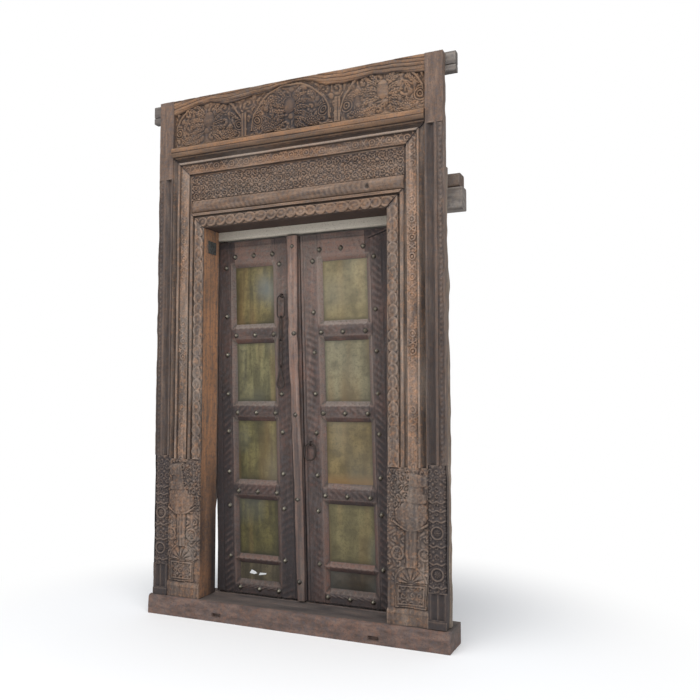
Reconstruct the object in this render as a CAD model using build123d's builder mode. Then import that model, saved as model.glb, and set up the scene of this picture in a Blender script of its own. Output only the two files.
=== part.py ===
from build123d import *
from math import atan2, cos, degrees, radians, sin
import os

# A carved double-leaf door in its frame. X runs to the right, Y into the doorway and Z up.
# The origin is the middle of the sill's underside, in the plane of the outer posts' fronts.

# Doorway and frame, seen from the front
opening_width = 934
opening_height = 1741
jamb_width = 178
inner_band_width = 78
post_width = 80
torus_height = 62
tablet_height = 119
ledge_height = 46
frieze_height = 239

# Frame, front to back
post_thickness = 40
jamb_front = 4
jamb_depth = 140
moulding_relief = 24
lintel_board_thickness = 60
tablet_setback = 26
torus_bulge = 20
frieze_setback = 14
ledge_nosing = 18

# Sill
sill_height = 88
sill_end_overhang = 14
sill_nosing = 15
sill_depth = 162
sill_wear = 9
slot_width = 44
slot_height = 15
slot_depth = 22
sill_tenon_depth = 30
sill_tenon_thickness = 24
sill_tenon_shoulder = 18

# Rear frame, which holds the pivots
rear_depth = 75
rear_reveal = 5.5
rear_post_width = 92
rear_foot_cut_width = 42
rear_foot_cut_height = 430
rear_lintel_drop = 41
rear_lintel_height = 138
rear_cap_height = 59
rear_cap_bevel = 26
rear_horn = 40
rear_horn_rise = 39
rear_cap_setback = 10

# Planks behind the outer posts and behind the head rail
backing_thickness = 35
backing_height = 1900
backing_bulge = 7
batten_height = 88
batten_rise = 7
batten_horn_left = 68
batten_horn_right = 45

# Carving on the frame
bead_pitch = 58
bead_height = 9
sprig_pitch = 90
sprig_height = 7
tablet_pitch = 72
tablet_relief = 7
arch_radius = 86
arch_rim = 13
arch_rim_height = 5
petal_length = 78
petal_height = 7

# Pot and foot of each jamb, turned column at the foot of each outer post
jamb_base_height = 640
pot_bottom = 383
pot_height = 239
pot_radius = 108
pot_axis_depth = 90
pot_half_width = 71
plinth_height = 64
plinth_nosing = 12
foot_panel_height = 101
foot_panel_rim = 14
foot_panel_relief = 8
calyx_height = 90
calyx_relief = 9
post_base_height = 653
post_foot_height = 151
post_column_radius = 45
post_column_depth = 30
post_relief = 16

# Leaves
leaf_setback = 10
leaf_thickness = 45
foot_gap = 8
head_gap = 9
hinge_gap = 3
seam_gap = 5
seam_lean = 50
left_meeting_width = 155
left_hinge_width = 109.5
right_meeting_width = 112
right_hinge_width = 139.5
top_rail_height = 130
rail_height = 97
low_panel_height = 252
kick_rail_height = 47
kick_panel_height = 71
bottom_rail_height = 67
bevel_width = 24
bevel_depth = 17
sheet_thickness = 2
groove_depth = 8
tenon_length = 34
tenon_thickness = 15
tenon_shoulder = 11
left_foot_trim = 9.5
left_foot_trim_height = 430

# Wooden pivots, turned on the ends of the hinge stiles
pivot_radius = 12
pivot_length = 34
pivot_clearance = 0.06
pivot_end_gap = 0.3

# Astragal and studs
astragal_width = 62
astragal_thickness = 20
nail_radius = 7
stud_radius = 12
stud_inset = 45
head_sides = 4

# Chain, hasp and ring pull, forged from bar: a bend is a few straight lengths
bar_sides = 8
bend_steps = 6
bar_radius = 3.2
link_clearance = 0.6
staple_radius = 3
chain_standoff = 18
chain_inset = 95
chain_height = 1402
link_width = 46
link_length = 112
cross_link_width = 28
cross_link_length = 122
long_link_width = 24
long_link_length = 132
hasp_width = 44
hasp_length = 108
hasp_rim = 8
hasp_thickness = 4
hasp_sides = 12
knuckle_length = 6
knuckle_wall = 2.6
ring_bar_radius = 4
ring_width = 62
ring_length = 84
ring_standoff = 12
ring_inset = 38
ring_height = 712

# Iron plate let on to the left reveal
plate_width = 65
plate_height = 60
plate_thickness = 3
plate_drop = 56
plate_setback = 50

# One overrun serves every cut
overrun = 4

# Shares chosen by hand. Moulding shares: across the band, and back from its foremost face.
inner_band_shares = [(0, 0.42), (0.05, 0.30), (0.66, 0.30), (0.70, 0.75), (0.78, 0.75), (0.80, 0.16),
                     (0.95, 0.16)]
outer_band_shares = [(0, 0.85), (0.10, 0.85), (0.12, 0.42), (0.60, 0.42), (0.62, 0), (0.70, 0)]
outer_cove_shares = [(0.72, 0.40), (0.83, 1.00), (0.94, 0.40)]
outer_rim_shares = [(0.95, 0.16), (1, 0.16)]
post_cove_shares = [(0.09, 0.10), (0.28, 1.00), (0.48, 0.20)]
post_rim_shares = [(0.50, 0), (0.62, 0), (0.64, 0.55), (0.95, 0.55), (0.96, 0.10), (1, 0.10)]
scroll_band_share = 0.36
bead_band_share = 0.36
bead_shares = (0.21, 0.40)
sprig_shares = (0.34, 0.17)
sprig_turn_degrees = 38
pot_centre_share = 0.59
pot_bowl_shares = [(0.70, 0), (0.92, 0.14), (1, 0.42)]
pot_neck_shares = [(0.86, 0.46), (0.93, 0.60), (0.84, 0.70)]
pot_cap_shares = [(0.93, 0.84), (0.80, 1), (0, 1), (0, 0)]
stem_shares = [(0, 0), (0.84, 0), (0.80, 1), (0, 1)]
tablet_sprig_shares = (0.42, 0.26)
column_shares = [(0.86, 0), (1, 0.10), (0.84, 0.28), (1, 0.40), (0.84, 0.52), (0.98, 0.70), (0.86, 1)]
waney_shares = [(-1, 0.69), (-0.81, 0.83), (-0.68, 0.86), (-0.54, 0.77), (-0.18, 0.86), (0.04, 0.96)]
waney_right_shares = [(0.18, 0.90), (0.28, 0.76), (0.51, 0.75), (0.64, 0.81), (0.82, 0.76), (1, 0.70)]
backing_edge_shares = [(0, 0.2), (0.22, 0.9), (0.45, 0.3), (0.62, 1), (0.82, 0.4), (1, 0)]
slot_shares = [(-0.485, 0.34), (0.556, 0.27)]
arch_centre_shares = (-0.70, 0, 0.70)
fan_centre_shares = (-0.35, 0.35)
arch_spring_share = 0.30
stud_shares = [(1.01, 0.14), (0.81, 0.12), (0.82, 0.12), (0.82, -0.06)]
rail_stud_shares = (-0.04, 0.46, 0.97)
rail_stud_height_share = 0.42
head_round_share = 0.42
astragal_left_shares = [(0, 0.73), (0.2, 0.84), (0.4, 0.86), (0.6, 1), (0.75, 1.1), (1, 1.02)]
astragal_right_shares = [(1, 0.06), (0.75, 0.22), (0.6, 0.20), (0.4, 0.06), (0.2, 0.05), (0, 0.05)]
nail_shares = (0.05, 0.27, 0.5, 0.725, 0.97)
tear_shares = [[(0.22, 0.36), (0.34, 0.30), (0.43, 0.38), (0.38, 0.50), (0.28, 0.60)],
               [(0.46, 0.26), (0.66, 0.36), (0.67, 0.46), (0.50, 0.44)]]
petal_turns_degrees = (-66, -33, 0, 33, 66)

# Places worked out from the sizes above
half_opening = opening_width / 2
half_jamb = half_opening + jamb_width
half_frame = half_jamb + post_width
outer_band_width = jamb_width - inner_band_width
half_tablet = half_opening + inner_band_width
z_door = sill_height
z_soffit = z_door + opening_height
z_band = z_soffit + inner_band_width
z_tablet = z_band + torus_height
z_outer_band = z_tablet + tablet_height
z_ledge = z_outer_band + outer_band_width
z_frieze = z_ledge + ledge_height
z_top = z_frieze + frieze_height
sill_back = sill_depth - sill_nosing
rear_back = jamb_depth + rear_depth
rear_inner = half_opening + rear_reveal
rear_outer = rear_inner + rear_post_width
z_rear_lintel = z_soffit - rear_lintel_drop
leaf_front = jamb_depth + leaf_setback
leaf_back = leaf_front + leaf_thickness
leaf_bottom = z_door + foot_gap
leaf_top = z_rear_lintel - head_gap
leaf_height = leaf_top - leaf_bottom
leaf_middle = (leaf_top + leaf_bottom) / 2
pivot_x = rear_inner - hinge_gap - leaf_thickness / 2
pivot_y = leaf_front + leaf_thickness / 2
hinge_edge = pivot_x + leaf_thickness / 2
left_panel_width = hinge_edge - left_hinge_width - left_meeting_width
right_panel_width = hinge_edge - right_hinge_width - right_meeting_width
lower_rails_height = bottom_rail_height + kick_panel_height + kick_rail_height + low_panel_height
panel_height = (leaf_height - lower_rails_height - rail_height * 3 - top_rail_height) / 3

# Heights of the rails and panels, from the foot of a leaf to its head
rail_heights = [bottom_rail_height, kick_rail_height] + [rail_height] * 3 + [top_rail_height]
panel_heights = [kick_panel_height, low_panel_height] + [panel_height] * 3
kick_rail_number = 1
rail_spans = []
panel_spans = []
height_so_far = leaf_bottom
for rail_number, height in enumerate(rail_heights):
    rail_spans.append((height_so_far, height_so_far + height))
    height_so_far = height_so_far + height
    if rail_number < len(panel_heights):
        panel_spans.append((height_so_far, height_so_far + panel_heights[rail_number]))
        height_so_far = height_so_far + panel_heights[rail_number]

os.makedirs("parts", exist_ok=True)


def front(y):
    """Plane that faces the viewer at depth y: its x is the part's X and its y the part's Z."""
    return Plane.XZ.offset(-y)


def save(piece, name):
    """Labels a finished piece and writes it."""
    piece.part.label = name
    export_step(piece.part, f"parts/{name}.step")


def ordered(points, side):
    """Points of an outline drawn for the right side, turned round again when mirrored."""
    return points if side > 0 else points[::-1]


def box_points(side, near, far, bottom, top):
    """Upright rectangle between two distances from the middle, on one side of the door."""
    points = [(side * near, bottom), (side * far, bottom), (side * far, top), (side * near, top)]
    return ordered(points, side)


def steps(length, pitch):
    """Middles of equal steps, about one pitch each, that fill a length."""
    count = max(1, round(length / pitch))
    return [(number + 0.5) * length / count for number in range(count)]


def lozenge(x, z, half_width, half_height, turn=0):
    """Corners of a lozenge, turned by some degrees about its middle."""
    c = cos(radians(turn))
    s = sin(radians(turn))
    corners = [(-half_width, 0), (0, -half_height), (half_width, 0), (0, half_height)]
    return [(x + u * c - v * s, z + u * s + v * c) for u, v in corners]


def sprig(x, z, number):
    """Outline of a leaf of the scroll; each one leans the other way from the one before it."""
    turn = sprig_turn_degrees if number % 2 else -sprig_turn_degrees
    return lozenge(x, z, inner_band_width * sprig_shares[0], inner_band_width * sprig_shares[1], turn)


def petal(x, z, length, turn):
    """Outline of a petal that grows from a point, turned by some degrees from upright."""
    tip = (x + length * sin(radians(turn)), z + length * cos(radians(turn)))
    across = (cos(radians(turn)), -sin(radians(turn)))
    wide = ((x + tip[0] * 2) / 3, (z + tip[1] * 2) / 3)
    spread = length / 6
    root_x = x + (tip[0] - x) / 4
    root_z = z + (tip[1] - z) / 4
    left = (wide[0] - across[0] * spread, wide[1] - across[1] * spread)
    right = (wide[0] + across[0] * spread, wide[1] + across[1] * spread)
    return [(root_x, root_z), right, tip, left]


def seam(z):
    """X of the seam between the leaves, which leans to the right towards the foot."""
    return seam_lean * (leaf_middle - z) / leaf_height


def board(side, near, far, bottom, top):
    """Corners of a leaning board of a leaf, with its edges at two distances from the seam."""
    points = [(seam(bottom) + side * near, bottom), (seam(bottom) + side * far, bottom),
              (seam(top) + side * far, top), (seam(top) + side * near, top)]
    return ordered(points, side)


# Sill: a thick plank with worn front edge, two slots and mortises for the posts and jambs
sill_half = half_frame + sill_end_overhang
jamb_tenon = (half_opening + sill_tenon_shoulder, half_jamb - sill_tenon_shoulder)
post_tenon = (half_jamb + sill_tenon_shoulder, half_frame - sill_tenon_shoulder)
jamb_tenon_y = jamb_depth / 2
post_tenon_y = post_thickness / 2


def tenon_points(side, span, y):
    """Plan of a stub tenon between two distances from the middle, centred on depth y."""
    half = sill_tenon_thickness / 2
    points = [(side * span[0], y - half), (side * span[1], y - half),
              (side * span[1], y + half), (side * span[0], y + half)]
    return ordered(points, side)


with BuildPart() as sill:
    with BuildSketch(Plane.YZ.offset(-sill_half)):
        with BuildLine():
            Polyline((-sill_nosing, 0), (sill_back, 0), (sill_back, sill_height),
                     (sill_wear - sill_nosing, sill_height), (-sill_nosing, sill_height - sill_wear),
                     close=True)
        make_face()
    extrude(amount=sill_half * 2)
    with BuildSketch(front(slot_depth - sill_nosing)):
        for across, up in slot_shares:
            with Locations((across * sill_half, up * sill_height)):
                Rectangle(slot_width, slot_height)
    extrude(amount=slot_depth + overrun, mode=Mode.SUBTRACT)
    with BuildSketch(Plane.XY.offset(sill_height - sill_tenon_depth)):
        for side in (-1, 1):
            Polygon(*tenon_points(side, jamb_tenon, jamb_tenon_y), align=None)
            Polygon(*tenon_points(side, post_tenon, post_tenon_y), align=None)
    extrude(amount=sill_tenon_depth + overrun, mode=Mode.SUBTRACT)
save(sill, "sill")

# Rear sill: carries the feet of the rear posts and the sockets of the lower pivots
socket_radius = pivot_radius + pivot_clearance
pivot_foot = leaf_bottom - pivot_length
pivot_head = leaf_top + pivot_length
with BuildPart() as rear_sill:
    with BuildSketch():
        with Locations((0, (sill_back + rear_back) / 2)):
            Rectangle(rear_outer * 2, rear_back - sill_back)
    extrude(amount=sill_height)
    with BuildSketch(Plane.XY.offset(pivot_foot - pivot_end_gap)):
        with Locations((-pivot_x, pivot_y), (pivot_x, pivot_y)):
            Circle(socket_radius)
    extrude(amount=sill_height, mode=Mode.SUBTRACT)
save(rear_sill, "rear_sill")


def moulded_jamb(side):
    """A jamb: plain at the foot behind its pot, moulded above, mitred to the lintel bands."""
    base_top = z_door + jamb_base_height
    ground = jamb_front + moulding_relief * inner_band_shares[1][1]
    bead_ground = jamb_front + moulding_relief * outer_band_shares[3][1]
    pot_x = side * (half_opening + jamb_width * pot_centre_share)
    stem_bottom = plinth_height + foot_panel_height + calyx_height

    def inner(share):
        """Place of a share of the inner band, in plan."""
        across = half_opening + share[0] * inner_band_width
        return (side * across, jamb_front + share[1] * moulding_relief)

    def outer(share):
        """Place of a share of the outer band, in plan."""
        across = half_tablet + share[0] * outer_band_width
        return (side * across, jamb_front + share[1] * moulding_relief)

    with BuildPart() as piece:
        # Turned pot with its stem, of which only the front stands out of the jamb
        with BuildSketch(Plane((pot_x, pot_axis_depth, z_door + pot_bottom), (1, 0, 0), (0, -1, 0))):
            with BuildLine():
                bowl = [(r * pot_radius, h * pot_height) for r, h in pot_bowl_shares]
                rest = [(r * pot_radius, h * pot_height) for r, h in pot_neck_shares + pot_cap_shares]
                ThreePointArc(*bowl)
                Polyline(bowl[-1], *rest, bowl[0])
            make_face()
        revolve(axis=Axis((pot_x, pot_axis_depth, 0), (0, 0, 1)))
        with BuildSketch(Plane((pot_x, pot_axis_depth, z_door + stem_bottom), (1, 0, 0), (0, -1, 0))):
            with BuildLine():
                stem_height = pot_bottom - stem_bottom
                Polyline(*[(r * pot_radius, h * stem_height) for r, h in stem_shares], close=True)
            make_face()
        revolve(axis=Axis((pot_x, pot_axis_depth, 0), (0, 0, 1)))
        with BuildSketch(front(ground + overrun)):
            Polygon(*box_points(side, half_opening, half_jamb, z_door, base_top), align=None)
        extrude(amount=pot_radius, mode=Mode.INTERSECT)
        # Plain foot, stub tenon and moulded shaft
        with BuildSketch(front(jamb_depth)):
            Polygon(*box_points(side, half_opening, half_jamb, z_door, base_top), align=None)
        extrude(amount=jamb_depth - ground)
        with BuildSketch(Plane.XY.offset(z_door - sill_tenon_depth)):
            Polygon(*tenon_points(side, jamb_tenon, jamb_tenon_y), align=None)
        extrude(amount=sill_tenon_depth)
        with BuildSketch(Plane.XY.offset(base_top)):
            with BuildLine():
                Polyline(*[inner(share) for share in inner_band_shares],
                         *[outer(share) for share in outer_band_shares], outer(outer_cove_shares[0]))
                ThreePointArc(*[outer(share) for share in outer_cove_shares])
                Polyline(outer(outer_cove_shares[-1]), *[outer(share) for share in outer_rim_shares],
                         (side * half_jamb, jamb_depth), (side * half_opening, jamb_depth),
                         inner(inner_band_shares[0]))
            make_face()
        extrude(amount=z_ledge - base_top)
        # Mitres to the lower and the upper band
        with BuildSketch(front(jamb_depth + overrun)):
            corners = [(side * half_opening, z_soffit), (side * half_tablet, z_band),
                       (side * half_tablet, z_outer_band), (side * half_jamb, z_ledge),
                       (side * half_opening, z_ledge)]
            Polygon(*ordered(corners, side), align=None)
        extrude(amount=jamb_depth * 2, mode=Mode.SUBTRACT)
        # Leaf scroll on the inner band and beads on the outer one
        with BuildSketch(front(ground)):
            scroll_x = side * (half_opening + inner_band_width * scroll_band_share)
            for number, step in enumerate(steps(z_soffit - base_top, sprig_pitch)):
                Polygon(*sprig(scroll_x, base_top + step, number), align=None)
        extrude(amount=sprig_height)
        with BuildSketch(front(bead_ground)):
            bead_x = side * (half_tablet + outer_band_width * bead_band_share)
            for step in steps(z_outer_band - base_top, bead_pitch):
                Polygon(*lozenge(bead_x, base_top + step, outer_band_width * bead_shares[0],
                                 bead_pitch * bead_shares[1]), align=None)
        extrude(amount=bead_height)
        # Calyx of petals, square panel and plinth below the pot
        panel_foot = z_door + plinth_height
        with BuildSketch(front(ground)):
            for turn in petal_turns_degrees:
                Polygon(*petal(pot_x, panel_foot + foot_panel_height, pot_half_width, turn), align=None)
        extrude(amount=calyx_relief)
        with BuildSketch(front(ground)):
            panel_half = pot_half_width - foot_panel_rim
            with Locations((pot_x, panel_foot + foot_panel_height / 2)):
                Rectangle(pot_half_width * 2, foot_panel_height - foot_panel_rim)
                Rectangle(panel_half * 2, foot_panel_height - foot_panel_rim * 3, mode=Mode.SUBTRACT)
            Polygon(*lozenge(pot_x, panel_foot + foot_panel_height / 2, panel_half - foot_panel_rim,
                             foot_panel_height / 2 - foot_panel_rim * 2), align=None)
        extrude(amount=foot_panel_relief)
        with BuildSketch(front(ground)):
            Polygon(*box_points(side, half_opening, half_jamb, z_door, z_door + plinth_height), align=None)
        extrude(amount=plinth_nosing)
    return piece


for side, name in ((-1, "left"), (1, "right")):
    save(moulded_jamb(side), f"jamb_{name}")


def outer_post(side):
    """An outer post: turned column at the foot, cove and rims above, plain at the head."""
    base_top = z_door + post_base_height
    column_x = side * (half_jamb + post_width / 2)
    column_foot = z_door + post_foot_height
    clear = (half_jamb - post_width, half_frame + post_width)

    def place(share):
        """Place of a share of the post's moulding, in plan."""
        return (side * (half_jamb + share[0] * post_width), share[1] * post_relief)

    with BuildPart() as piece:
        with BuildSketch(front(post_thickness)):
            Polygon(*box_points(side, half_jamb, half_frame, z_door, base_top), align=None)
        extrude(amount=post_thickness - post_relief / 2)
        with BuildSketch(Plane.XY.offset(z_door - sill_tenon_depth)):
            Polygon(*tenon_points(side, post_tenon, post_tenon_y), align=None)
        extrude(amount=sill_tenon_depth)
        with BuildSketch(Plane.XY.offset(base_top)):
            with BuildLine():
                Polyline((side * half_jamb, post_thickness), (side * half_jamb, 0),
                         place(post_cove_shares[0]))
                ThreePointArc(*[place(share) for share in post_cove_shares])
                Polyline(place(post_cove_shares[-1]), *[place(share) for share in post_rim_shares],
                         (side * half_frame, post_thickness), (side * half_jamb, post_thickness))
            make_face()
        extrude(amount=z_ledge - base_top)
        with BuildSketch(front(post_thickness)):
            Polygon(*box_points(side, half_jamb, half_frame, z_ledge, z_top), align=None)
        extrude(amount=post_thickness)
        # Turned column, sunk in the post to its axis
        with BuildSketch(Plane((column_x, post_column_depth, column_foot), (1, 0, 0), (0, -1, 0))):
            with BuildLine():
                column_height = base_top - column_foot
                column = [(r * post_column_radius, h * column_height) for r, h in column_shares]
                Polyline((0, 0), *column, (0, column_height), close=True)
            make_face()
        revolve(axis=Axis((column_x, post_column_depth, 0), (0, 0, 1)))
        with BuildSketch(front(post_thickness)):
            Polygon(*box_points(side, half_jamb, half_frame, z_door, column_foot), align=None)
        extrude(amount=post_thickness)
        # The column keeps clear of the jamb, the sill's edge and the plank behind
        with BuildSketch(front(post_thickness)):
            Polygon(*box_points(side, *clear, z_door, z_top), align=None)
            Polygon(*box_points(side, half_jamb, half_frame, z_door, z_top), align=None, mode=Mode.SUBTRACT)
        extrude(amount=post_width * 2, mode=Mode.SUBTRACT)
        with BuildSketch(front(post_thickness)):
            Polygon(*box_points(side, *clear, z_door, z_top), align=None)
        extrude(amount=-post_width, mode=Mode.SUBTRACT)
    return piece


for side, name in ((-1, "left"), (1, "right")):
    save(outer_post(side), f"outer_post_{name}")

# Planks behind the outer posts: the right one shows a waney edge
for side, name in ((-1, "left"), (1, "right")):
    with BuildPart() as backing_plank:
        with BuildSketch(front(post_thickness + backing_thickness)):
            with BuildLine():
                foot = (side * half_frame, z_door)
                head = (side * half_frame, z_door + backing_height)
                if side > 0:
                    edge = [(half_frame + out * backing_bulge, z_door + up * backing_height)
                            for up, out in backing_edge_shares]
                    foot = edge[0]
                    Spline(*edge)
                else:
                    Line(foot, head)
                Polyline(head, (side * half_jamb, z_door + backing_height), (side * half_jamb, z_door),
                         foot)
            make_face()
        extrude(amount=backing_thickness)
    save(backing_plank, f"backing_plank_{name}")

# Rear posts: the left one is hacked away at the foot, where daylight shows past the leaf
for side, name in ((-1, "left"), (1, "right")):
    with BuildPart() as rear_post:
        with BuildSketch(front(rear_back)):
            Polygon(*box_points(side, rear_inner, rear_outer, z_door, z_rear_lintel), align=None)
            if side < 0:
                Polygon((-rear_inner, z_door), (-rear_inner, z_door + rear_foot_cut_height),
                        (-rear_inner - rear_foot_cut_width, z_door), align=None, mode=Mode.SUBTRACT)
        extrude(amount=rear_depth)
    save(rear_post, f"rear_post_{name}")

# Rear lintel with a horn on the right and the sockets of the upper pivots
horn_end = half_frame + rear_horn
z_cap = z_rear_lintel + rear_lintel_height
with BuildPart() as rear_lintel:
    with BuildSketch(front(rear_back)):
        with BuildLine():
            Polyline((-rear_outer, z_rear_lintel), (rear_outer, z_rear_lintel),
                     (rear_outer, z_rear_lintel + rear_horn_rise),
                     (horn_end, z_rear_lintel + rear_horn_rise), (horn_end, z_cap), (-rear_outer, z_cap),
                     close=True)
        make_face()
    extrude(amount=rear_depth)
    with BuildSketch(Plane.XY.offset(pivot_head + pivot_end_gap)):
        with Locations((-pivot_x, pivot_y), (pivot_x, pivot_y)):
            Circle(socket_radius)
    extrude(amount=-rear_lintel_height, mode=Mode.SUBTRACT)
save(rear_lintel, "rear_lintel")

# Cap timber on the rear lintel, bevelled at its free end
cap_end = horn_end - rear_cap_setback
z_cap_top = z_cap + rear_cap_height
with BuildPart() as rear_lintel_cap:
    with BuildSketch(front(rear_back)):
        with BuildLine():
            Polyline((-rear_outer, z_cap), (cap_end, z_cap), (cap_end, z_cap_top - rear_cap_bevel),
                     (cap_end - rear_cap_bevel, z_cap_top), (-rear_outer, z_cap_top), close=True)
        make_face()
    extrude(amount=rear_depth)
save(rear_lintel_cap, "rear_lintel_cap")

# Lower lintel band: the jambs' inner moulding turned over the doorway, as deep as the jambs
with BuildPart() as lintel_lower_band:
    with BuildSketch(Plane.YZ.offset(-half_tablet)):
        with BuildLine():
            profile = [(jamb_front + back * moulding_relief, z_soffit + across * inner_band_width)
                       for across, back in inner_band_shares]
            Polyline(*profile, (jamb_front + outer_band_shares[0][1] * moulding_relief, z_band),
                     (jamb_depth, z_band), (jamb_depth, z_soffit), close=True)
        make_face()
    extrude(amount=half_tablet * 2)
    with BuildSketch(front(jamb_depth + overrun)):
        for side in (-1, 1):
            corners = [(side * (half_opening - overrun), z_soffit - overrun),
                       (side * (half_tablet + overrun), z_soffit - overrun),
                       (side * (half_tablet + overrun), z_band + overrun)]
            Polygon(*ordered(corners, side), align=None)
    extrude(amount=jamb_depth * 2, mode=Mode.SUBTRACT)
    with BuildSketch(front(jamb_front + moulding_relief * inner_band_shares[1][1])):
        scroll_z = z_soffit + inner_band_width * scroll_band_share
        for number, step in enumerate(steps(opening_width, sprig_pitch)):
            Polygon(*sprig(step - half_opening, scroll_z, number), align=None)
    extrude(amount=sprig_height)
save(lintel_lower_band, "lintel_lower_band")

# Torus rail: a half-round with rounded ends that lies over the lower band
lintel_back = jamb_front + moulding_relief + lintel_board_thickness
torus_ground = jamb_front + moulding_relief
with BuildPart() as lintel_torus:
    with BuildSketch(Plane.YZ.offset(-half_tablet)):
        with BuildLine():
            ThreePointArc((torus_ground, z_band), (torus_ground - torus_bulge, z_band + torus_height / 2),
                          (torus_ground, z_tablet))
            Polyline((torus_ground, z_tablet), (lintel_back, z_tablet), (lintel_back, z_band),
                     (torus_ground, z_band))
        make_face()
    extrude(amount=half_tablet * 2)
    with BuildSketch(front(torus_ground)):
        for side in (-1, 1):
            Polygon(*box_points(side, half_tablet - torus_height / 2, half_tablet + overrun,
                                z_band - overrun, z_tablet + overrun), align=None)
        with Locations((torus_height / 2 - half_tablet, (z_band + z_tablet) / 2),
                       (half_tablet - torus_height / 2, (z_band + z_tablet) / 2)):
            Circle(torus_height / 2, mode=Mode.SUBTRACT)
    extrude(amount=torus_bulge + overrun, mode=Mode.SUBTRACT)
save(lintel_torus, "lintel_torus")

# Tablet: recessed board covered with small leaves in rows
with BuildPart() as lintel_tablet:
    with BuildSketch(front(lintel_back)):
        Polygon((-half_tablet, z_tablet), (half_tablet, z_tablet), (half_tablet, z_outer_band),
                (-half_tablet, z_outer_band), align=None)
    extrude(amount=lintel_back - tablet_setback)
    with BuildSketch(front(tablet_setback)):
        for row, up in enumerate(steps(tablet_height, tablet_pitch)):
            for number, step in enumerate(steps(half_tablet * 2, tablet_pitch)):
                turn = sprig_turn_degrees if (number + row) % 2 else -sprig_turn_degrees
                Polygon(*lozenge(step - half_tablet, z_tablet + up, tablet_pitch * tablet_sprig_shares[0],
                                 tablet_pitch * tablet_sprig_shares[1], turn), align=None)
    extrude(amount=tablet_relief)
save(lintel_tablet, "lintel_tablet")


def upper(share):
    """Place of a moulding share on the upper band's section."""
    return (jamb_front + share[1] * moulding_relief, z_outer_band + share[0] * outer_band_width)


# Upper lintel band: the jambs' outer moulding turned over the tablet
with BuildPart() as lintel_upper_band:
    with BuildSketch(Plane.YZ.offset(-half_jamb)):
        with BuildLine():
            Polyline((lintel_back, z_outer_band), *[upper(share) for share in outer_band_shares],
                     upper(outer_cove_shares[0]))
            ThreePointArc(*[upper(share) for share in outer_cove_shares])
            Polyline(upper(outer_cove_shares[-1]), *[upper(share) for share in outer_rim_shares],
                     (lintel_back, z_ledge), (lintel_back, z_outer_band))
        make_face()
    extrude(amount=half_jamb * 2)
    with BuildSketch(front(lintel_back + overrun)):
        for side in (-1, 1):
            corners = [(side * (half_tablet - overrun), z_outer_band - overrun),
                       (side * (half_jamb + overrun), z_outer_band - overrun),
                       (side * (half_jamb + overrun), z_ledge + overrun)]
            Polygon(*ordered(corners, side), align=None)
    extrude(amount=lintel_back * 2, mode=Mode.SUBTRACT)
    with BuildSketch(front(jamb_front + moulding_relief * outer_band_shares[3][1])):
        for step in steps(half_tablet * 2, bead_pitch):
            Polygon(*lozenge(step - half_tablet, z_outer_band + outer_band_width * bead_band_share,
                             bead_pitch * bead_shares[1], outer_band_width * bead_shares[0]), align=None)
    extrude(amount=bead_height)
save(lintel_upper_band, "lintel_upper_band")

# Cornice ledge: a plank with a rounded nose between the outer posts
nose_back = ledge_height / 2 - ledge_nosing
with BuildPart() as cornice_ledge:
    with BuildSketch(Plane.YZ.offset(-half_jamb)):
        with BuildLine():
            ThreePointArc((nose_back, z_ledge), (-ledge_nosing, z_ledge + ledge_height / 2),
                          (nose_back, z_frieze))
            Polyline((nose_back, z_frieze), (post_thickness, z_frieze), (post_thickness, z_ledge),
                     (nose_back, z_ledge))
        make_face()
    extrude(amount=half_jamb * 2)
save(cornice_ledge, "cornice_ledge")

# Frieze board: three round arches with fans of leaves between them
with BuildPart() as frieze_board:
    with BuildSketch(front(post_thickness)):
        Polygon((-half_jamb, z_frieze), (half_jamb, z_frieze), (half_jamb, z_top), (-half_jamb, z_top),
                align=None)
    extrude(amount=post_thickness - frieze_setback)
    arch_spring = z_frieze + frieze_height * arch_spring_share
    with BuildSketch(front(frieze_setback)):
        for across in arch_centre_shares:
            with Locations((across * half_jamb, arch_spring)):
                Circle(arch_radius + arch_rim)
                Circle(arch_radius, mode=Mode.SUBTRACT)
        Polygon((-half_jamb, z_ledge), (half_jamb, z_ledge), (half_jamb, arch_spring),
                (-half_jamb, arch_spring), align=None, mode=Mode.SUBTRACT)
    extrude(amount=arch_rim_height)
    with BuildSketch(front(frieze_setback)):
        for across in fan_centre_shares:
            for turn in petal_turns_degrees:
                Polygon(*petal(across * half_jamb, z_frieze + arch_rim, petal_length, turn), align=None)
    extrude(amount=petal_height)
save(frieze_board, "frieze_board")

# Head rail: a thin plank with a hewn, waney lower edge, on the head of the frieze board
with BuildPart() as head_rail:
    with BuildSketch(front(frieze_setback)):
        with BuildLine():
            waney = [(across * half_jamb, z_frieze + up * frieze_height)
                     for across, up in waney_shares + waney_right_shares]
            Polyline(*waney)
            Polyline(waney[-1], (half_jamb, z_top), (-half_jamb, z_top), waney[0])
        make_face()
    extrude(amount=frieze_setback)
save(head_rail, "head_rail")

# Head batten: a plank behind the head of the frame, with a horn at each end
with BuildPart() as head_batten:
    with BuildSketch(front(post_thickness + backing_thickness)):
        Polygon((-half_frame - batten_horn_left, z_top + batten_rise - batten_height),
                (half_frame + batten_horn_right, z_top + batten_rise - batten_height),
                (half_frame + batten_horn_right, z_top + batten_rise),
                (-half_frame - batten_horn_left, z_top + batten_rise), align=None)
    extrude(amount=backing_thickness)
save(head_batten, "head_batten")

# Iron plate on the left reveal
with BuildPart() as reveal_plate:
    with BuildSketch(Plane.YZ.offset(-half_opening)):
        with Locations((plate_setback + plate_width / 2, z_soffit - plate_drop - plate_height / 2)):
            Rectangle(plate_width, plate_height)
    extrude(amount=plate_thickness)
save(reveal_plate, "reveal_plate")

# Leaves: stiles and rails with stub tenons, bevelled round brass sheets that sit in grooves
sheet_front = leaf_front + bevel_depth
bevel_degrees = degrees(atan2(bevel_width, bevel_depth))
tenon_back = pivot_y + tenon_thickness / 2


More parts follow.
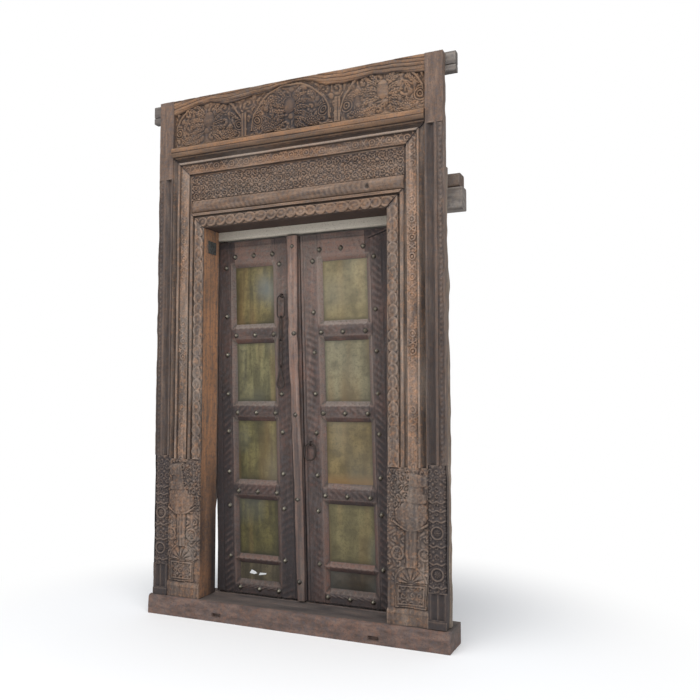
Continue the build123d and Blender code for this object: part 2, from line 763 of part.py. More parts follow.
def panel_outline(leaf, number, margin):
    """Outline of a panel of a leaf, widened all round by a margin."""
    side, near, width = leaf
    bottom, top = panel_spans[number]
    return board(side, near - margin, near + width + margin, bottom - margin, top + margin)


def tenon_outline(leaf, number):
    """Outline of a rail with its two tenons, set in from the rail's edges."""
    side, near, width = leaf
    bottom, top = rail_spans[number]
    return board(side, near - tenon_length, near + width + tenon_length, bottom + tenon_shoulder,
                 top - tenon_shoulder)


def cut_panels(leaf, numbers):
    """Outlines of the bevels' feet and of the grooves for some panels of a leaf."""
    feet = [panel_outline(leaf, number, 0) for number in numbers]
    grooves = [panel_outline(leaf, number, groove_depth) for number in numbers]
    return feet, grooves


def leaf_stile(leaf, outline, pivoted):
    """A stile with its mortises, bevels and grooves, and with pivots on a hinge stile."""
    side = leaf[0]
    feet, grooves = cut_panels(leaf, range(len(panel_spans)))
    with BuildPart() as piece:
        with BuildSketch(front(leaf_back)):
            Polygon(*outline, align=None)
        extrude(amount=leaf_thickness)
        if pivoted:
            with BuildSketch(Plane.XY.offset(leaf_bottom)):
                with Locations((side * pivot_x, pivot_y)):
                    Circle(leaf_thickness / 2)
            extrude(amount=leaf_height)
            with BuildSketch(Plane.XY.offset(pivot_foot)):
                with Locations((side * pivot_x, pivot_y)):
                    Circle(pivot_radius)
            extrude(amount=pivot_head - pivot_foot)
        with BuildSketch(front(tenon_back)):
            for number in range(len(rail_spans)):
                Polygon(*tenon_outline(leaf, number), align=None)
        extrude(amount=tenon_thickness, mode=Mode.SUBTRACT)
        with BuildSketch(front(sheet_front)):
            for foot in feet:
                Polygon(*foot, align=None)
        extrude(amount=bevel_depth + overrun, taper=-bevel_degrees, mode=Mode.SUBTRACT)
        with BuildSketch(front(sheet_front + sheet_thickness)):
            for groove in grooves:
                Polygon(*groove, align=None)
        extrude(amount=sheet_thickness, mode=Mode.SUBTRACT)
        if pivoted and side < 0:
            with BuildSketch(front(leaf_back + overrun)):
                Polygon((-hinge_edge - overrun, leaf_bottom), (left_foot_trim - hinge_edge, leaf_bottom),
                        (-hinge_edge, leaf_bottom + left_foot_trim_height),
                        (-hinge_edge - overrun, leaf_bottom + left_foot_trim_height), align=None)
            extrude(amount=leaf_thickness + overrun * 2, mode=Mode.SUBTRACT)
    return piece


def leaf_rail(leaf, number):
    """A rail with its tenons, bevelled and grooved along the panels that it borders."""
    side, near, width = leaf
    bottom, top = rail_spans[number]
    borders = [panel for panel in (number - 1, number) if 0 <= panel < len(panel_spans)]
    feet, grooves = cut_panels(leaf, borders)
    with BuildPart() as piece:
        with BuildSketch(front(leaf_back)):
            Polygon(*board(side, near, near + width, bottom, top), align=None)
        extrude(amount=leaf_thickness)
        with BuildSketch(front(tenon_back)):
            Polygon(*tenon_outline(leaf, number), align=None)
        extrude(amount=tenon_thickness)
        with BuildSketch(front(sheet_front)):
            for foot in feet:
                Polygon(*foot, align=None)
        extrude(amount=bevel_depth + overrun, taper=-bevel_degrees, mode=Mode.SUBTRACT)
        with BuildSketch(front(sheet_front + sheet_thickness)):
            for groove in grooves:
                Polygon(*groove, align=None)
        extrude(amount=sheet_thickness, mode=Mode.SUBTRACT)
    return piece


def leaf_sheet(leaf, number):
    """A brass sheet; the short one at the foot of the left leaf is torn through."""
    side, near, width = leaf
    bottom, top = panel_spans[number]
    with BuildPart() as piece:
        with BuildSketch(front(sheet_front + sheet_thickness)):
            Polygon(*panel_outline(leaf, number, groove_depth), align=None)
            if side < 0 and number == 0:
                for tear in tear_shares:
                    Polygon(*[(seam(bottom) - near - width + across * width, bottom + up * (top - bottom))
                              for across, up in tear], align=None, mode=Mode.SUBTRACT)
        extrude(amount=sheet_thickness)
    return piece


def stud_places(leaf, hidden):
    """Places of a leaf's studs: two columns on the stiles, three on each rail but the kick rail."""
    side, near, width = leaf
    places = []
    for number, shares in enumerate(stud_shares):
        bottom, top = panel_spans[len(panel_spans) - 1 - number]
        for share in shares:
            z = bottom + share * (top - bottom)
            places.append((seam(z) + side * (near + width + stud_inset), z))
            if not hidden[0] < z < hidden[1]:
                places.append((seam(z) + side * (near - stud_inset), z))
    for number, (bottom, top) in enumerate(rail_spans):
        z = bottom + rail_stud_height_share * (top - bottom)
        if number != kick_rail_number:
            places.extend((seam(z) + side * (near + width * share), z) for share in rail_stud_shares)
    return places


def domes(places, y, radius):
    """Hammered heads with few sides and chamfered tops, that stand on a face at depth y."""
    with BuildPart() as piece:
        with BuildSketch(front(y)):
            with Locations(*places):
                RegularPolygon(radius, head_sides)
        extrude(amount=radius)
        tops = piece.faces().filter_by(Axis.Y).group_by(Axis.Y)[0]
        chamfer(tops.edges(), radius * head_round_share)
    return piece


# Chain places, from the staple down to the hasp
z_staple = leaf_bottom + chain_height
chain_x = seam(z_staple) - chain_inset
chain_y = leaf_front - chain_standoff
hook = bar_radius * 2 + link_clearance
z_link_foot = z_staple - link_length + bar_radius * 2
z_cross_head = z_link_foot + hook
z_cross_foot = z_cross_head - cross_link_length + bar_radius * 2
z_long_head = z_cross_foot + hook
z_long_foot = z_long_head - long_link_length + bar_radius * 2

left_leaf = (-1, left_meeting_width, left_panel_width)
right_leaf = (1, right_meeting_width, right_panel_width)
chain_span = (z_long_foot - hasp_length, z_staple)
for leaf, name, hidden in ((left_leaf, "left", chain_span), (right_leaf, "right", (0, 0))):
    side, near, width = leaf
    meeting = board(side, seam_gap / 2, near, leaf_bottom, leaf_top)
    hinge = ordered([(seam(leaf_bottom) + side * (near + width), leaf_bottom),
                     (side * pivot_x, leaf_bottom), (side * pivot_x, leaf_top),
                     (seam(leaf_top) + side * (near + width), leaf_top)], side)
    save(leaf_stile(leaf, meeting, False), f"meeting_stile_{name}")
    save(leaf_stile(leaf, hinge, True), f"hinge_stile_{name}")
    for number in range(len(rail_spans)):
        save(leaf_rail(leaf, number), f"rail_{name}_{number + 1}")
    for number in range(len(panel_spans)):
        save(leaf_sheet(leaf, number), f"sheet_{name}_{number + 1}")
    save(domes(stud_places(leaf, hidden), leaf_front, stud_radius), f"studs_{name}")

# Astragal: a wavy batten nailed along the left leaf's meeting edge
with BuildPart() as astragal:
    with BuildSketch(front(leaf_front)):
        with BuildLine():
            edges = []
            for shares in (astragal_left_shares, astragal_right_shares):
                edges.append([(seam(leaf_bottom + up * leaf_height) - out * astragal_width,
                               leaf_bottom + up * leaf_height) for up, out in shares])
            Spline(*edges[0])
            Line(edges[0][-1], edges[1][0])
            Spline(*edges[1])
            Line(edges[1][-1], edges[0][0])
        make_face()
    extrude(amount=astragal_thickness)
save(astragal, "astragal")

nail_heights = [leaf_bottom + up * leaf_height for up in nail_shares]
nail_places = [(seam(z) - astragal_width / 2, z) for z in nail_heights]
save(domes(nail_places, leaf_front - astragal_thickness, nail_radius), "astragal_nails")


def bend(x, z, radius, start_degrees, turn_degrees):
    """Corners of a bend about a middle, from a starting angle and through a turn."""
    angles = [radians(start_degrees + turn_degrees * step / bend_steps) for step in range(bend_steps + 1)]
    return [(x + radius * cos(angle), z + radius * sin(angle)) for angle in angles]


def staple(x, y, z, held_radius):
    """A U-shaped staple that loops round a bar along X and ends on the leaf's face."""
    loop = held_radius + link_clearance + staple_radius
    with BuildPart() as piece:
        with BuildLine(Plane.YZ.offset(x)) as path:
            Polyline((leaf_front, z + loop), *bend(y, z, loop, 90, 180), (leaf_front, z - loop))
        with BuildSketch(Plane.XZ.offset(-leaf_front)):
            with Locations((x, z + loop)):
                RegularPolygon(staple_radius, bar_sides)
        sweep(path=path.line, transition=Transition.RIGHT)
    return piece


def oval_bar(plane, middle, head, foot, half_width, radius):
    """A closed oval loop of bar, between its head's and its foot's bar middles."""
    with BuildPart() as piece:
        with BuildLine(plane) as path:
            start = (middle + half_width, (head + foot) / 2)
            Polyline(start, *bend(middle, head - half_width, half_width, 0, 180),
                     *bend(middle, foot + half_width, half_width, 180, 180), close=True)
        with BuildSketch(Plane(path.line @ 0, z_dir=path.line % 0)):
            RegularPolygon(radius, bar_sides)
        sweep(path=path.line, transition=Transition.RIGHT)
    return piece


save(staple(chain_x, chain_y, z_staple, bar_radius), "chain_staple")
link_half = link_width / 2 - bar_radius
cross_half = cross_link_width / 2 - bar_radius
bow_radius = long_link_width / 2 - bar_radius
chain_front = front(chain_y)
chain_side = Plane.YZ.offset(chain_x)
save(oval_bar(chain_front, chain_x, z_staple, z_link_foot, link_half, bar_radius), "chain_link_upper")
save(oval_bar(chain_side, chain_y, z_cross_head, z_cross_foot, cross_half, bar_radius), "chain_link_cross")
save(oval_bar(chain_front, chain_x, z_long_head, z_long_foot, bow_radius, bar_radius), "chain_link_long")

# Hasp: a round-ended loop of flat bar whose knuckle rolls on the foot of the long link
z_hasp_round = z_long_foot - hasp_length + hasp_width / 2
bow_inside = ((bow_radius - bar_radius) ** 2 - (knuckle_length / 2) ** 2) ** 0.5
knuckle_bore = bow_radius - bow_inside + link_clearance
z_hasp_neck = z_long_foot - knuckle_bore * 3
hole_half = hasp_width / 2 - hasp_rim
with BuildPart() as hasp:
    with BuildSketch(Plane.YZ.offset(chain_x - knuckle_length / 2)):
        with Locations((chain_y, z_long_foot)):
            RegularPolygon(knuckle_bore + knuckle_wall, bar_sides, major_radius=False)
    extrude(amount=knuckle_length)
    with BuildSketch(front(chain_y + hasp_thickness / 2)):
        with Locations((chain_x, z_long_foot - knuckle_bore * 2)):
            Rectangle(knuckle_length, knuckle_bore * 4)
        with Locations((chain_x, z_hasp_round)):
            RegularPolygon(hasp_width / 2, hasp_sides)
        Polygon((chain_x - knuckle_length, z_hasp_neck), (chain_x - hasp_width / 2, z_hasp_round),
                (chain_x + hasp_width / 2, z_hasp_round), (chain_x + knuckle_length, z_hasp_neck), align=None)
        with Locations((chain_x, z_hasp_round)):
            RegularPolygon(hole_half, hasp_sides, mode=Mode.SUBTRACT)
        Polygon((chain_x - hasp_rim / 4, z_hasp_neck - hasp_rim * 2), (chain_x - hole_half, z_hasp_round),
                (chain_x + hole_half, z_hasp_round), (chain_x + hasp_rim / 4, z_hasp_neck - hasp_rim * 2),
                align=None, mode=Mode.SUBTRACT)
    extrude(amount=hasp_thickness)
    with BuildSketch(Plane.YZ.offset(chain_x - hasp_width)):
        with Locations((chain_y, z_long_foot)):
            Circle(knuckle_bore)
    extrude(amount=hasp_width * 2, mode=Mode.SUBTRACT)
save(hasp, "hasp")

# Ring pull on the right leaf
z_ring = leaf_bottom + ring_height
ring_x = seam(z_ring) + ring_inset
ring_y = leaf_front - ring_standoff
save(staple(ring_x, ring_y, z_ring, ring_bar_radius), "ring_staple")
save(oval_bar(front(ring_y), ring_x, z_ring, z_ring - ring_length + ring_bar_radius * 2,
              ring_width / 2 - ring_bar_radius, ring_bar_radius), "pull_ring")
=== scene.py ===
import bpy
import math
import numpy as np
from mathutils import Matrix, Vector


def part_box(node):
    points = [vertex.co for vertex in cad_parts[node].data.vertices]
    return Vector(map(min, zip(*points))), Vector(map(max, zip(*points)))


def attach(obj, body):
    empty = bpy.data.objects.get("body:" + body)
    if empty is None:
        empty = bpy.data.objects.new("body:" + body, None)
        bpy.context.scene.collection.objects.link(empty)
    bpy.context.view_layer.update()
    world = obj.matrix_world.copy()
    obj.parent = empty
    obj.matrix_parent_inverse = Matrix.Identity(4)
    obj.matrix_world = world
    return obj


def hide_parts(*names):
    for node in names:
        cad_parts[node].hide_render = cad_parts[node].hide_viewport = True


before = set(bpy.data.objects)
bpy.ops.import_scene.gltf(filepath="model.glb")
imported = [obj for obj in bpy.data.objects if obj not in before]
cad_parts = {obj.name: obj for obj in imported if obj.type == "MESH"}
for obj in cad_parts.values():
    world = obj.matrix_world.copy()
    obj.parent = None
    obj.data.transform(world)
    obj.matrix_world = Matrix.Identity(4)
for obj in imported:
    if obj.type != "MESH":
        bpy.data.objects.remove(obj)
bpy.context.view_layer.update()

# Sill: one thick hewn plank of hardwood that the whole frame stands on. Feet have worn its
# front edge round, the tread has split along the grain, and two slots are cut in its face.
sill_low, sill_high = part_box("sill")
sill_slots = ((-0.358, 0.030), (0.411, 0.024))
slot_half_width, slot_half_height, slot_depth = 0.022, 0.0075, 0.018
edge_round, edge_wear, edge_reach = 0.012, 0.006, 0.030
split_from_front, split_depth, split_width = 0.075, 0.005, 0.0018


def drift(u, v, seed):
    """Smooth chance values from -1 to 1: each whole step of u and v has a chance value, and between
    them the four nearest are mixed with weights eased by 3t^2 - 2t^3."""
    table = np.random.default_rng(seed).uniform(-1, 1, (128, 128))
    u, v = np.broadcast_arrays(u, v)
    i, j = np.floor(u).astype(int), np.floor(v).astype(int)
    s, t = u - i, v - j
    s, t = s * s * (3 - 2 * s), t * t * (3 - 2 * t)
    i, j, k, l = i % 128, j % 128, (i + 1) % 128, (j + 1) % 128
    low = table[i, j] * (1 - s) + table[k, j] * s
    high = table[i, l] * (1 - s) + table[k, l] * s
    return low * (1 - t) + high * t


def closed_piece(name, rings, body, slot, material, nodes=(), joined=False, sharp=40, end_parts=None,
                 **marks):
    """A closed skin from an array of pieces, rows, columns and x, y, z. Each row is a closed loop, rows
    are joined by four-sided faces, and each piece's first and last row are closed by a face, or by one for
    each group of columns in the end parts, or joined to each other. Marks are values for each point that
    the material reads."""
    rings = rings if rings.ndim == 4 else rings[None]
    count, rows, columns = rings.shape[:3]
    points = rings.reshape(-1, 3)
    start = (np.arange(count) * rows * columns)[:, None, None]
    row = np.arange(rows if joined else rows - 1)[None, :, None]
    column = np.arange(columns)[None, None, :]
    here, there = start + row * columns, start + (row + 1) % rows * columns
    after = (column + 1) % columns
    quads = np.stack([here + column, here + after, there + after, there + column], -1).reshape(-1, 4)
    middle = points - points.mean(0)
    a, b, c, d = (middle[quads[:, corner]] for corner in range(4))
    volume = (a * (np.cross(b, c) + np.cross(c, d))).sum()
    faces = [quads]
    if not joined:
        first = start[:, 0]
        last = first + (rows - 1) * columns
        parts = [np.arange(columns)] if end_parts is None else end_parts
        faces = faces + [np.concatenate([first + part[::-1], last + part]) for part in parts]
    if volume < 0:
        faces = [group[:, ::-1] for group in faces]
    corners = np.concatenate([group.ravel() for group in faces])
    sizes = np.concatenate([np.full(*group.shape) for group in faces])
    mesh = bpy.data.meshes.new(name)
    mesh.vertices.add(len(points))
    mesh.vertices.foreach_set("co", points.astype(np.float32).ravel())
    mesh.loops.add(len(corners))
    mesh.loops.foreach_set("vertex_index", corners.astype(np.int32))
    mesh.polygons.add(len(sizes))
    mesh.polygons.foreach_set("loop_start", (np.cumsum(sizes) - sizes).astype(np.int32))
    mesh.update(calc_edges=True)
    mesh.polygons.foreach_set("use_smooth", np.ones(len(sizes), bool))
    mesh.set_sharp_from_angle(angle=math.radians(sharp))
    for mark, values in marks.items():
        layer = mesh.attributes.new(mark, "FLOAT", "POINT")
        layer.data.foreach_set("value", np.broadcast_to(values, rings.shape[:3]).astype(np.float32).ravel())
    piece = bpy.data.objects.new(name, mesh)
    bpy.context.scene.collection.objects.link(piece)
    mesh.materials.append(material)
    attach(piece, body)
    if nodes:
        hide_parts(*nodes)


def tone(red, green, blue):
    """A colour given as red, green and blue from 0 to 255, as the linear values that a shader takes."""
    share = np.array([red, green, blue]) / 255
    linear = np.where(share <= 0.04045, share / 12.92, ((share + 0.055) / 1.055) ** 2.4)
    return (*linear.tolist(), 1.0)


def feed(tree, node, inputs):
    """Gives a shader node its inputs: a socket is linked, and a value is set."""
    for socket, value in inputs.items():
        if isinstance(value, bpy.types.NodeSocket):
            tree.links.new(value, node.inputs[socket])
        else:
            node.inputs[socket].default_value = value


def add_node(tree, kind, inputs, **settings):
    """A new shader node of a kind, with its settings and its inputs."""
    node = tree.nodes.new("ShaderNode" + kind)
    for setting, value in settings.items():
        setattr(node, setting, value)
    feed(tree, node, inputs)
    return node


def new_material(name):
    """A new material with its tree of nodes, its surface shader and the place of each point on a piece."""
    material = bpy.data.materials.new(name)
    material.use_nodes = True
    tree = material.node_tree
    return material, tree, tree.nodes["Principled BSDF"], add_node(tree, "TexCoord", {}).outputs["Object"]


def noise(tree, place, scale, detail, roughness=0.5):
    """Noise of a scale over the places."""
    inputs = {"Vector": place, "Scale": scale, "Detail": detail, "Roughness": roughness}
    return add_node(tree, "TexNoise", inputs).outputs["Fac"]


def drawn_out(tree, place, scale):
    """The places, scaled along x, y and z, so that noise over them is drawn out."""
    return add_node(tree, "Mapping", {"Vector": place, "Scale": scale}).outputs["Vector"]


def ranged(tree, value, low, high, to_low=0.0, to_high=1.0):
    """A value brought from one range to another, and held inside it."""
    inputs = {"Value": value, "From Min": low, "From Max": high, "To Min": to_low, "To Max": to_high}
    return add_node(tree, "MapRange", inputs).outputs["Result"]


def ramped(tree, value, first, last, *between):
    """Colours laid along a value, each given with its position, and mixed between them."""
    node = add_node(tree, "ValToRGB", {"Fac": value})
    for element, (position, colour) in zip(node.color_ramp.elements, (first, last)):
        element.position = position
        element.color = colour
    for position, colour in between:
        node.color_ramp.elements.new(position).color = colour
    return node.outputs["Color"]


def mark(tree, name):
    """The value that the mesh holds for each point under a mark's name."""
    return add_node(tree, "Attribute", {}, attribute_name=name).outputs["Fac"]


def combined(tree, operation, first, second):
    """Two values put together by an operation, such as MULTIPLY."""
    return add_node(tree, "Math", {0: first, 1: second}, operation=operation).outputs[0]


def layered(tree, colour, *layers):
    """A colour under layers, each given as how much of it there is and its tint."""
    for share, tint in layers:
        colour = add_node(tree, "Mix", {0: share, 6: colour, 7: tint}, data_type="RGBA").outputs[2]
    return colour


def bumped(tree, height, strength, distance):
    """The surface's direction, tilted as a height would tilt it."""
    inputs = {"Height": height, "Strength": strength, "Distance": distance}
    return add_node(tree, "Bump", inputs).outputs["Normal"]


def weathered_wood(name, timber, light, dark, warm, grain, rough=0.82):
    """Old timber. Noise drawn out along the grain runs the colour from dark over timber to light, broad and
    middling noise make warm and cool patches, the mark warm turns it to the warm tone, the stain mark to a
    sooty dark that is painted shade where it stands for shade, the bleach mark to grey and to a painted
    highlight where it stands for light, and lime to limewash. By the relief mark, low places of the carving
    go dark with dirt and painted shade, and high ones are worn pale and carry a painted highlight. The bump
    follows the fibres."""
    material, tree, shader, place = new_material(name)
    fibre = noise(tree, drawn_out(tree, place, grain), 1.0, 9, 0.62)
    broad = noise(tree, place, 5.0, 6, 0.6)
    mottle = noise(tree, place, 55.0, 5, 0.65)
    fleck = noise(tree, place, 170.0, 3, 0.6)
    relief_shading = mark(tree, "relief_shading")
    cool_patch, hollow_dirt_and_shade, bleached = tone(84, 81, 84), tone(40, 34, 31), tone(160, 150, 140)
    soot_and_shade, limewash = tone(48, 45, 47), tone(192, 184, 170)
    # The stain mark lays on a sooty dark: real soot and stains, and painted shade where it stands for
    # shade.
    soot_and_shade_share = combined(tree, "MULTIPLY", mark(tree, "stain"), ranged(tree, fibre, 0.2, 0.55, 0.6, 1.0))
    # The relief mark keeps soot and painted shade off the high places of the carving: a painted highlight.
    soot_and_shade_share = combined(tree, "MULTIPLY", soot_and_shade_share, ranged(tree, relief_shading, 0.1, 0.7, 1.0, 0.45))
    # The bleach mark lays on pale grey: weathering, and a painted highlight where it stands for light.
    pale_share = combined(tree, "MULTIPLY", mark(tree, "bleach"), ranged(tree, fleck, 0.25, 0.6))
    colour = layered(tree, ramped(tree, fibre, (0.30, dark), (0.72, light), (0.52, timber)),
                     (ranged(tree, broad, 0.52, 0.72, 0.0, 0.35), layered(tree, dark, (fibre, warm))),
                     (mark(tree, "warm"), layered(tree, timber, (ranged(tree, fibre, 0.3, 0.6), warm))),
                     (ranged(tree, broad, 0.30, 0.55, 0.35, 0.0), dark),
                     (ranged(tree, mottle, 0.52, 0.66, 0.0, 0.40), warm),
                     (ranged(tree, mottle, 0.48, 0.34, 0.0, 0.55), cool_patch),
                     # Painted highlight with wear on the high places, painted shade with dirt in the
                     # hollows.
                     (ranged(tree, relief_shading, 0.05, 0.9, 0.0, 0.45), light),
                     (ranged(tree, relief_shading, -0.05, -0.8, 0.0, 0.80), hollow_dirt_and_shade),
                     (pale_share, bleached), (soot_and_shade_share, soot_and_shade), (mark(tree, "lime"), limewash),
                     (ranged(tree, fleck, 0.54, 0.70, 0.0, 0.55), dark))
    feed(tree, shader, {"Base Color": colour, "Specular IOR Level": 0.25,
                        "Roughness": ranged(tree, fibre, 0.3, 0.7, rough + 0.10, rough - 0.10),
                        "Normal": bumped(tree, layered(tree, fibre, (0.35, fleck)), 0.55, 0.0022)})
    return material


sill_wood = weathered_wood("sill wood", tone(98, 85, 80), tone(120, 105, 98), tone(66, 57, 54),
                           tone(128, 92, 74), (16.0, 50.0, 50.0))


def sill_plank():
    """The plank's section runs up the front, round the worn edge as a quarter circle, and back over the
    tread; chance waves wear it, and inside the slots the front is pushed back."""
    face = np.linspace(0, sill_high.z - edge_round, 28)
    turn = np.linspace(0, math.pi / 2, 7)[1:]
    tread = np.linspace(sill_low.y + edge_round, sill_high.y, 44)[1:]
    bend_y = sill_low.y + edge_round * (1 - np.cos(turn))
    bend_z = sill_high.z - edge_round * (1 - np.sin(turn))
    section_y = np.concatenate([face * 0 + sill_low.y, bend_y, tread])[None]
    section_z = np.concatenate([face, bend_z, tread * 0 + sill_high.z])[None]
    along = np.linspace(sill_low.x, sill_high.x, 420)[:, None]
    worn = 0.5 + 0.5 * drift(along * 6, section_z * 4, 3)
    edge = np.exp(-((section_y - sill_low.y) ** 2 + (section_z - sill_high.z) ** 2) / edge_reach ** 2)
    y = section_y + 0.002 * worn + edge * (edge_wear * worn + 0.002 * drift(along * 40, along * 0, 4))
    tread_dip = 0.002 * (1 + drift(along * 5, section_y * 30, 5)) * (section_y > 0.01)
    off_split = np.abs(section_y - split_from_front - 0.012 * drift(along * 7, along * 0, 6))
    is_split = (drift(along * 3, along * 0, 7) > -0.1) * (section_y > 0)
    z = section_z - edge * 0.005 * worn - tread_dip
    z = z - split_depth * np.exp(-(off_split / split_width) ** 2) * is_split
    for slot_x, slot_z in sill_slots:
        in_width = np.abs(along - slot_x) < slot_half_width
        in_height = np.abs(section_z - slot_z) < slot_half_height
        y = np.where(in_width & in_height & (section_y < 0), sill_low.y + slot_depth, y)
    trodden = (section_y > -0.002) * (0.60 + 0.35 * drift(along * 7, section_y * 22, 8))
    x, y, z = np.broadcast_arrays(along, y, z)
    rings = np.stack([x, y, z], -1)
    tail = np.stack([x[:, -1:], y[:, -1:], z[:, :1]], -1)
    return np.concatenate([rings, tail], 1), np.pad(np.clip(trodden, 0, 1), ((0, 0), (0, 1)))


sill_rings, sill_tread = sill_plank()
closed_piece("worn_sill", sill_rings, "frame", "frame_wood", sill_wood, ["sill"], stain=sill_tread,
             bleach=sill_tread * 0.6, warm=0.20 * (sill_tread == 0))

# Jambs: thick posts of one timber each, moulded along their length. A band of rings, two fillets, a
# row of beads and a hollow run up them, and a pot with leaves stands on a plinth at the foot.
jamb_low, jamb_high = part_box("jamb_right")
half_opening = jamb_low.x
jamb_width = jamb_high.x - half_opening
jamb_front, jamb_back = 0.004, jamb_high.y
z_door = sill_high.z
z_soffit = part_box("lintel_lower_band")[0].z
z_upper_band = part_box("lintel_upper_band")[0].z
half_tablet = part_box("lintel_tablet")[1].x
inner_width = half_tablet - half_opening
band_step = (0.078, 0.0785)
moulding_breaks = (0, 0.004, 0.051, 0.054, 0.061, 0.0625, 0.074, 0.078, 0.088, 0.090, 0.138, 0.140, 0.148,
                   0.150, 0.172, 0.1735, 0.178)
moulding_depths = (0.010, 0.007, 0.007, 0.016, 0.016, 0.004, 0.004, 0.019, 0.019, 0.010, 0.010, 0, 0,
                   0.009, 0.009, 0.004, 0.004)
cove_from, cove_width, cove_depth = 0.150, 0.022, 0.015
ring_middle, ring_half, ring_pitch, ring_relief = 0.0275, 0.0235, 0.052, 0.0095
bead_middle, bead_half, bead_pitch, bead_relief = 0.114, 0.024, 0.040, 0.0055
ring_band_end = 0.053
carving_step = 0.0027
reveal_lines = (0.118, 0.116, 0.060, 0.018)
foot_height, foot_ground = 0.640, 0.008
plinth_height = 0.068
panel_middle, panel_half_width, panel_half_height, panel_frame = 0.119, 0.067, 0.049, 0.015
fan_height, fan_reach = 0.170, 0.070
stem_half_width, stem_bottom, stem_top = 0.027, 0.234, 0.384
flower_places, flower_height = (-0.060, 0.058), 0.288
pot_middle = jamb_width * 0.59
pot_heights = (0.374, 0.382, 0.400, 0.425, 0.455, 0.484, 0.494, 0.500, 0.530, 0.536, 0.560, 0.566, 0.600,
               0.610, 0.622)
pot_radii = (0.001, 0.034, 0.054, 0.068, 0.073, 0.071, 0.060, 0.069, 0.069, 0.054, 0.054, 0.071, 0.071,
             0.058, 0.001)
spray_heights = (0.430, 0.455, 0.475, 0.500, 0.530, 0.630)
spray_edges = (-0.090, -0.070, -0.050, -0.026, -0.012, -0.004)
mitre_gaps = {-1: 0.0010, 1: 0.0022}
foot_warmth = {-1: 0.4, 1: 0.15}
# Painted shade in the jambs' cove, for each side.
cove_shade = {-1: 0.30, 1: 0.16}
along_x, along_z = (7.0, 60.0, 60.0), (60.0, 60.0, 7.0)
jamb_wood = weathered_wood("jamb wood", tone(110, 94, 83), tone(150, 131, 116), tone(66, 56, 50),
                           tone(178, 127, 89), along_z)


def blots(u, v, seed):
    """Chance patches from 0 to 1 with clear ground between them: the part of the drift that is above 0."""
    return np.clip(drift(u, v, seed), 0, 1)


def stations(breaks, step):
    """Places that take in every break and lie at most one step apart."""
    spans = [np.linspace(a, b, max(2, math.ceil((b - a) / step) + 1)) for a, b in zip(breaks, breaks[1:])]
    return np.unique(np.concatenate(spans).round(6))


def hollows(height, reach, scale):
    """How far each point stands above (up to 1) or below (down to -1) its surroundings: the height less
    its average over a square that reaches so many points each way, over a scale."""
    soft = height
    for axis in (0, 1):
        count = soft.shape[axis]
        span = 2 * reach + 1
        margins = [(0, 0), (0, 0)]
        margins[axis] = (reach + 1, reach)
        total = np.pad(soft, margins, mode="edge").cumsum(axis)
        soft = (np.take(total, range(span, span + count), axis) - np.take(total, range(count), axis)) / span
    return np.clip((height - soft) / scale, -1, 1)


def carved_board(name, x, y, z, back, body, slot, material, nodes, depth=0.0022, carved=1.0,
                 end_parts=None, **marks):
    """A board whose front is a grid of points and whose back is flat: each row of the grid is closed by
    two more points straight behind its ends, unless the back is none and the row is a loop already. Fine
    hollows of the front, over a depth that counts as full, and wide ones, over three times as much, make
    the relief mark, by the share that is carved: painted shade and dirt in the hollows, and a painted
    highlight and wear on the high places."""
    height = np.where(np.asarray(carved) > 0, -y, -np.median(y))
    wide = np.clip(hollows(height, 8, 3 * depth), -1, 0.3)
    marks["relief_shading"] = carved * (hollows(height, 2, depth) + 0.8 * wide)
    rings = np.stack([x, y, z], -1)
    marks = {mark: np.broadcast_to(values, x.shape) for mark, values in marks.items()}
    if back is not None:
        ends = rings[:, [0, -1]]
        ends[..., 1] = back
        rings = np.concatenate([ends[:, :1], rings, ends[:, 1:]], 1)
        marks = {mark: np.pad(values, ((0, 0), (1, 1))) for mark, values in marks.items()}
    closed_piece(name, rings, body, slot, material, nodes, end_parts=end_parts, **marks)


def moulding(across, cove=cove_depth):
    """Depth of the moulding behind the jamb's foremost face, at a distance from the doorway: straight
    runs between breaks, and in the cove a hollow that follows half a sine wave."""
    hollow = np.clip((across - cove_from) / cove_width, 0, 1)
    return np.interp(across, moulding_breaks, moulding_depths) + cove * np.sin(math.pi * hollow)


def ridge(distance, width):
    """Rounded ridge: 1 on its line, 0 from a width away, and between them a parabola."""
    return np.clip(1 - (distance / width) ** 2, 0, None)


def ring_chain(across, along):
    """Coins that overlap like scales, one for each unit along. A coin is an oval disc that tilts up towards
    its far end, with a raised rim and a round boss, and where two overlap the higher one shows."""
    height = 0
    for shift in (-1, 0, 1):
        step = along - np.round(along) - shift
        far = np.hypot(across, step * 1.75)
        coin = 0.42 + 0.45 * step + 0.30 * ridge(far - 0.80, 0.24) + 0.26 * ridge(far, 0.36)
        height = np.maximum(height, coin * (far < 1))
    return height


def bead_row(across, along):
    """Ovals and crosses by turns, one for each unit along: an oval is a ring with a round middle, a cross
    is two slanting ridges, and thin leaves close the corners."""
    number = np.round(along)
    step = along - number
    far = np.hypot(step / 0.42, across / 0.66)
    oval = np.maximum(ridge(far - 0.80, 0.22), 0.9 * ridge(far, 0.42))
    slant = np.minimum(np.abs(step - across * 0.42), np.abs(step + across * 0.42))
    cross = np.maximum(ridge(slant, 0.13), 0.8 * ridge(np.abs(across) - 0.72 + 0.5 * np.abs(step), 0.16))
    edge = np.clip((0.98 - np.abs(across)) / 0.12, 0, 1)
    return np.where(number % 2 == 0, oval, cross * 0.9) * edge


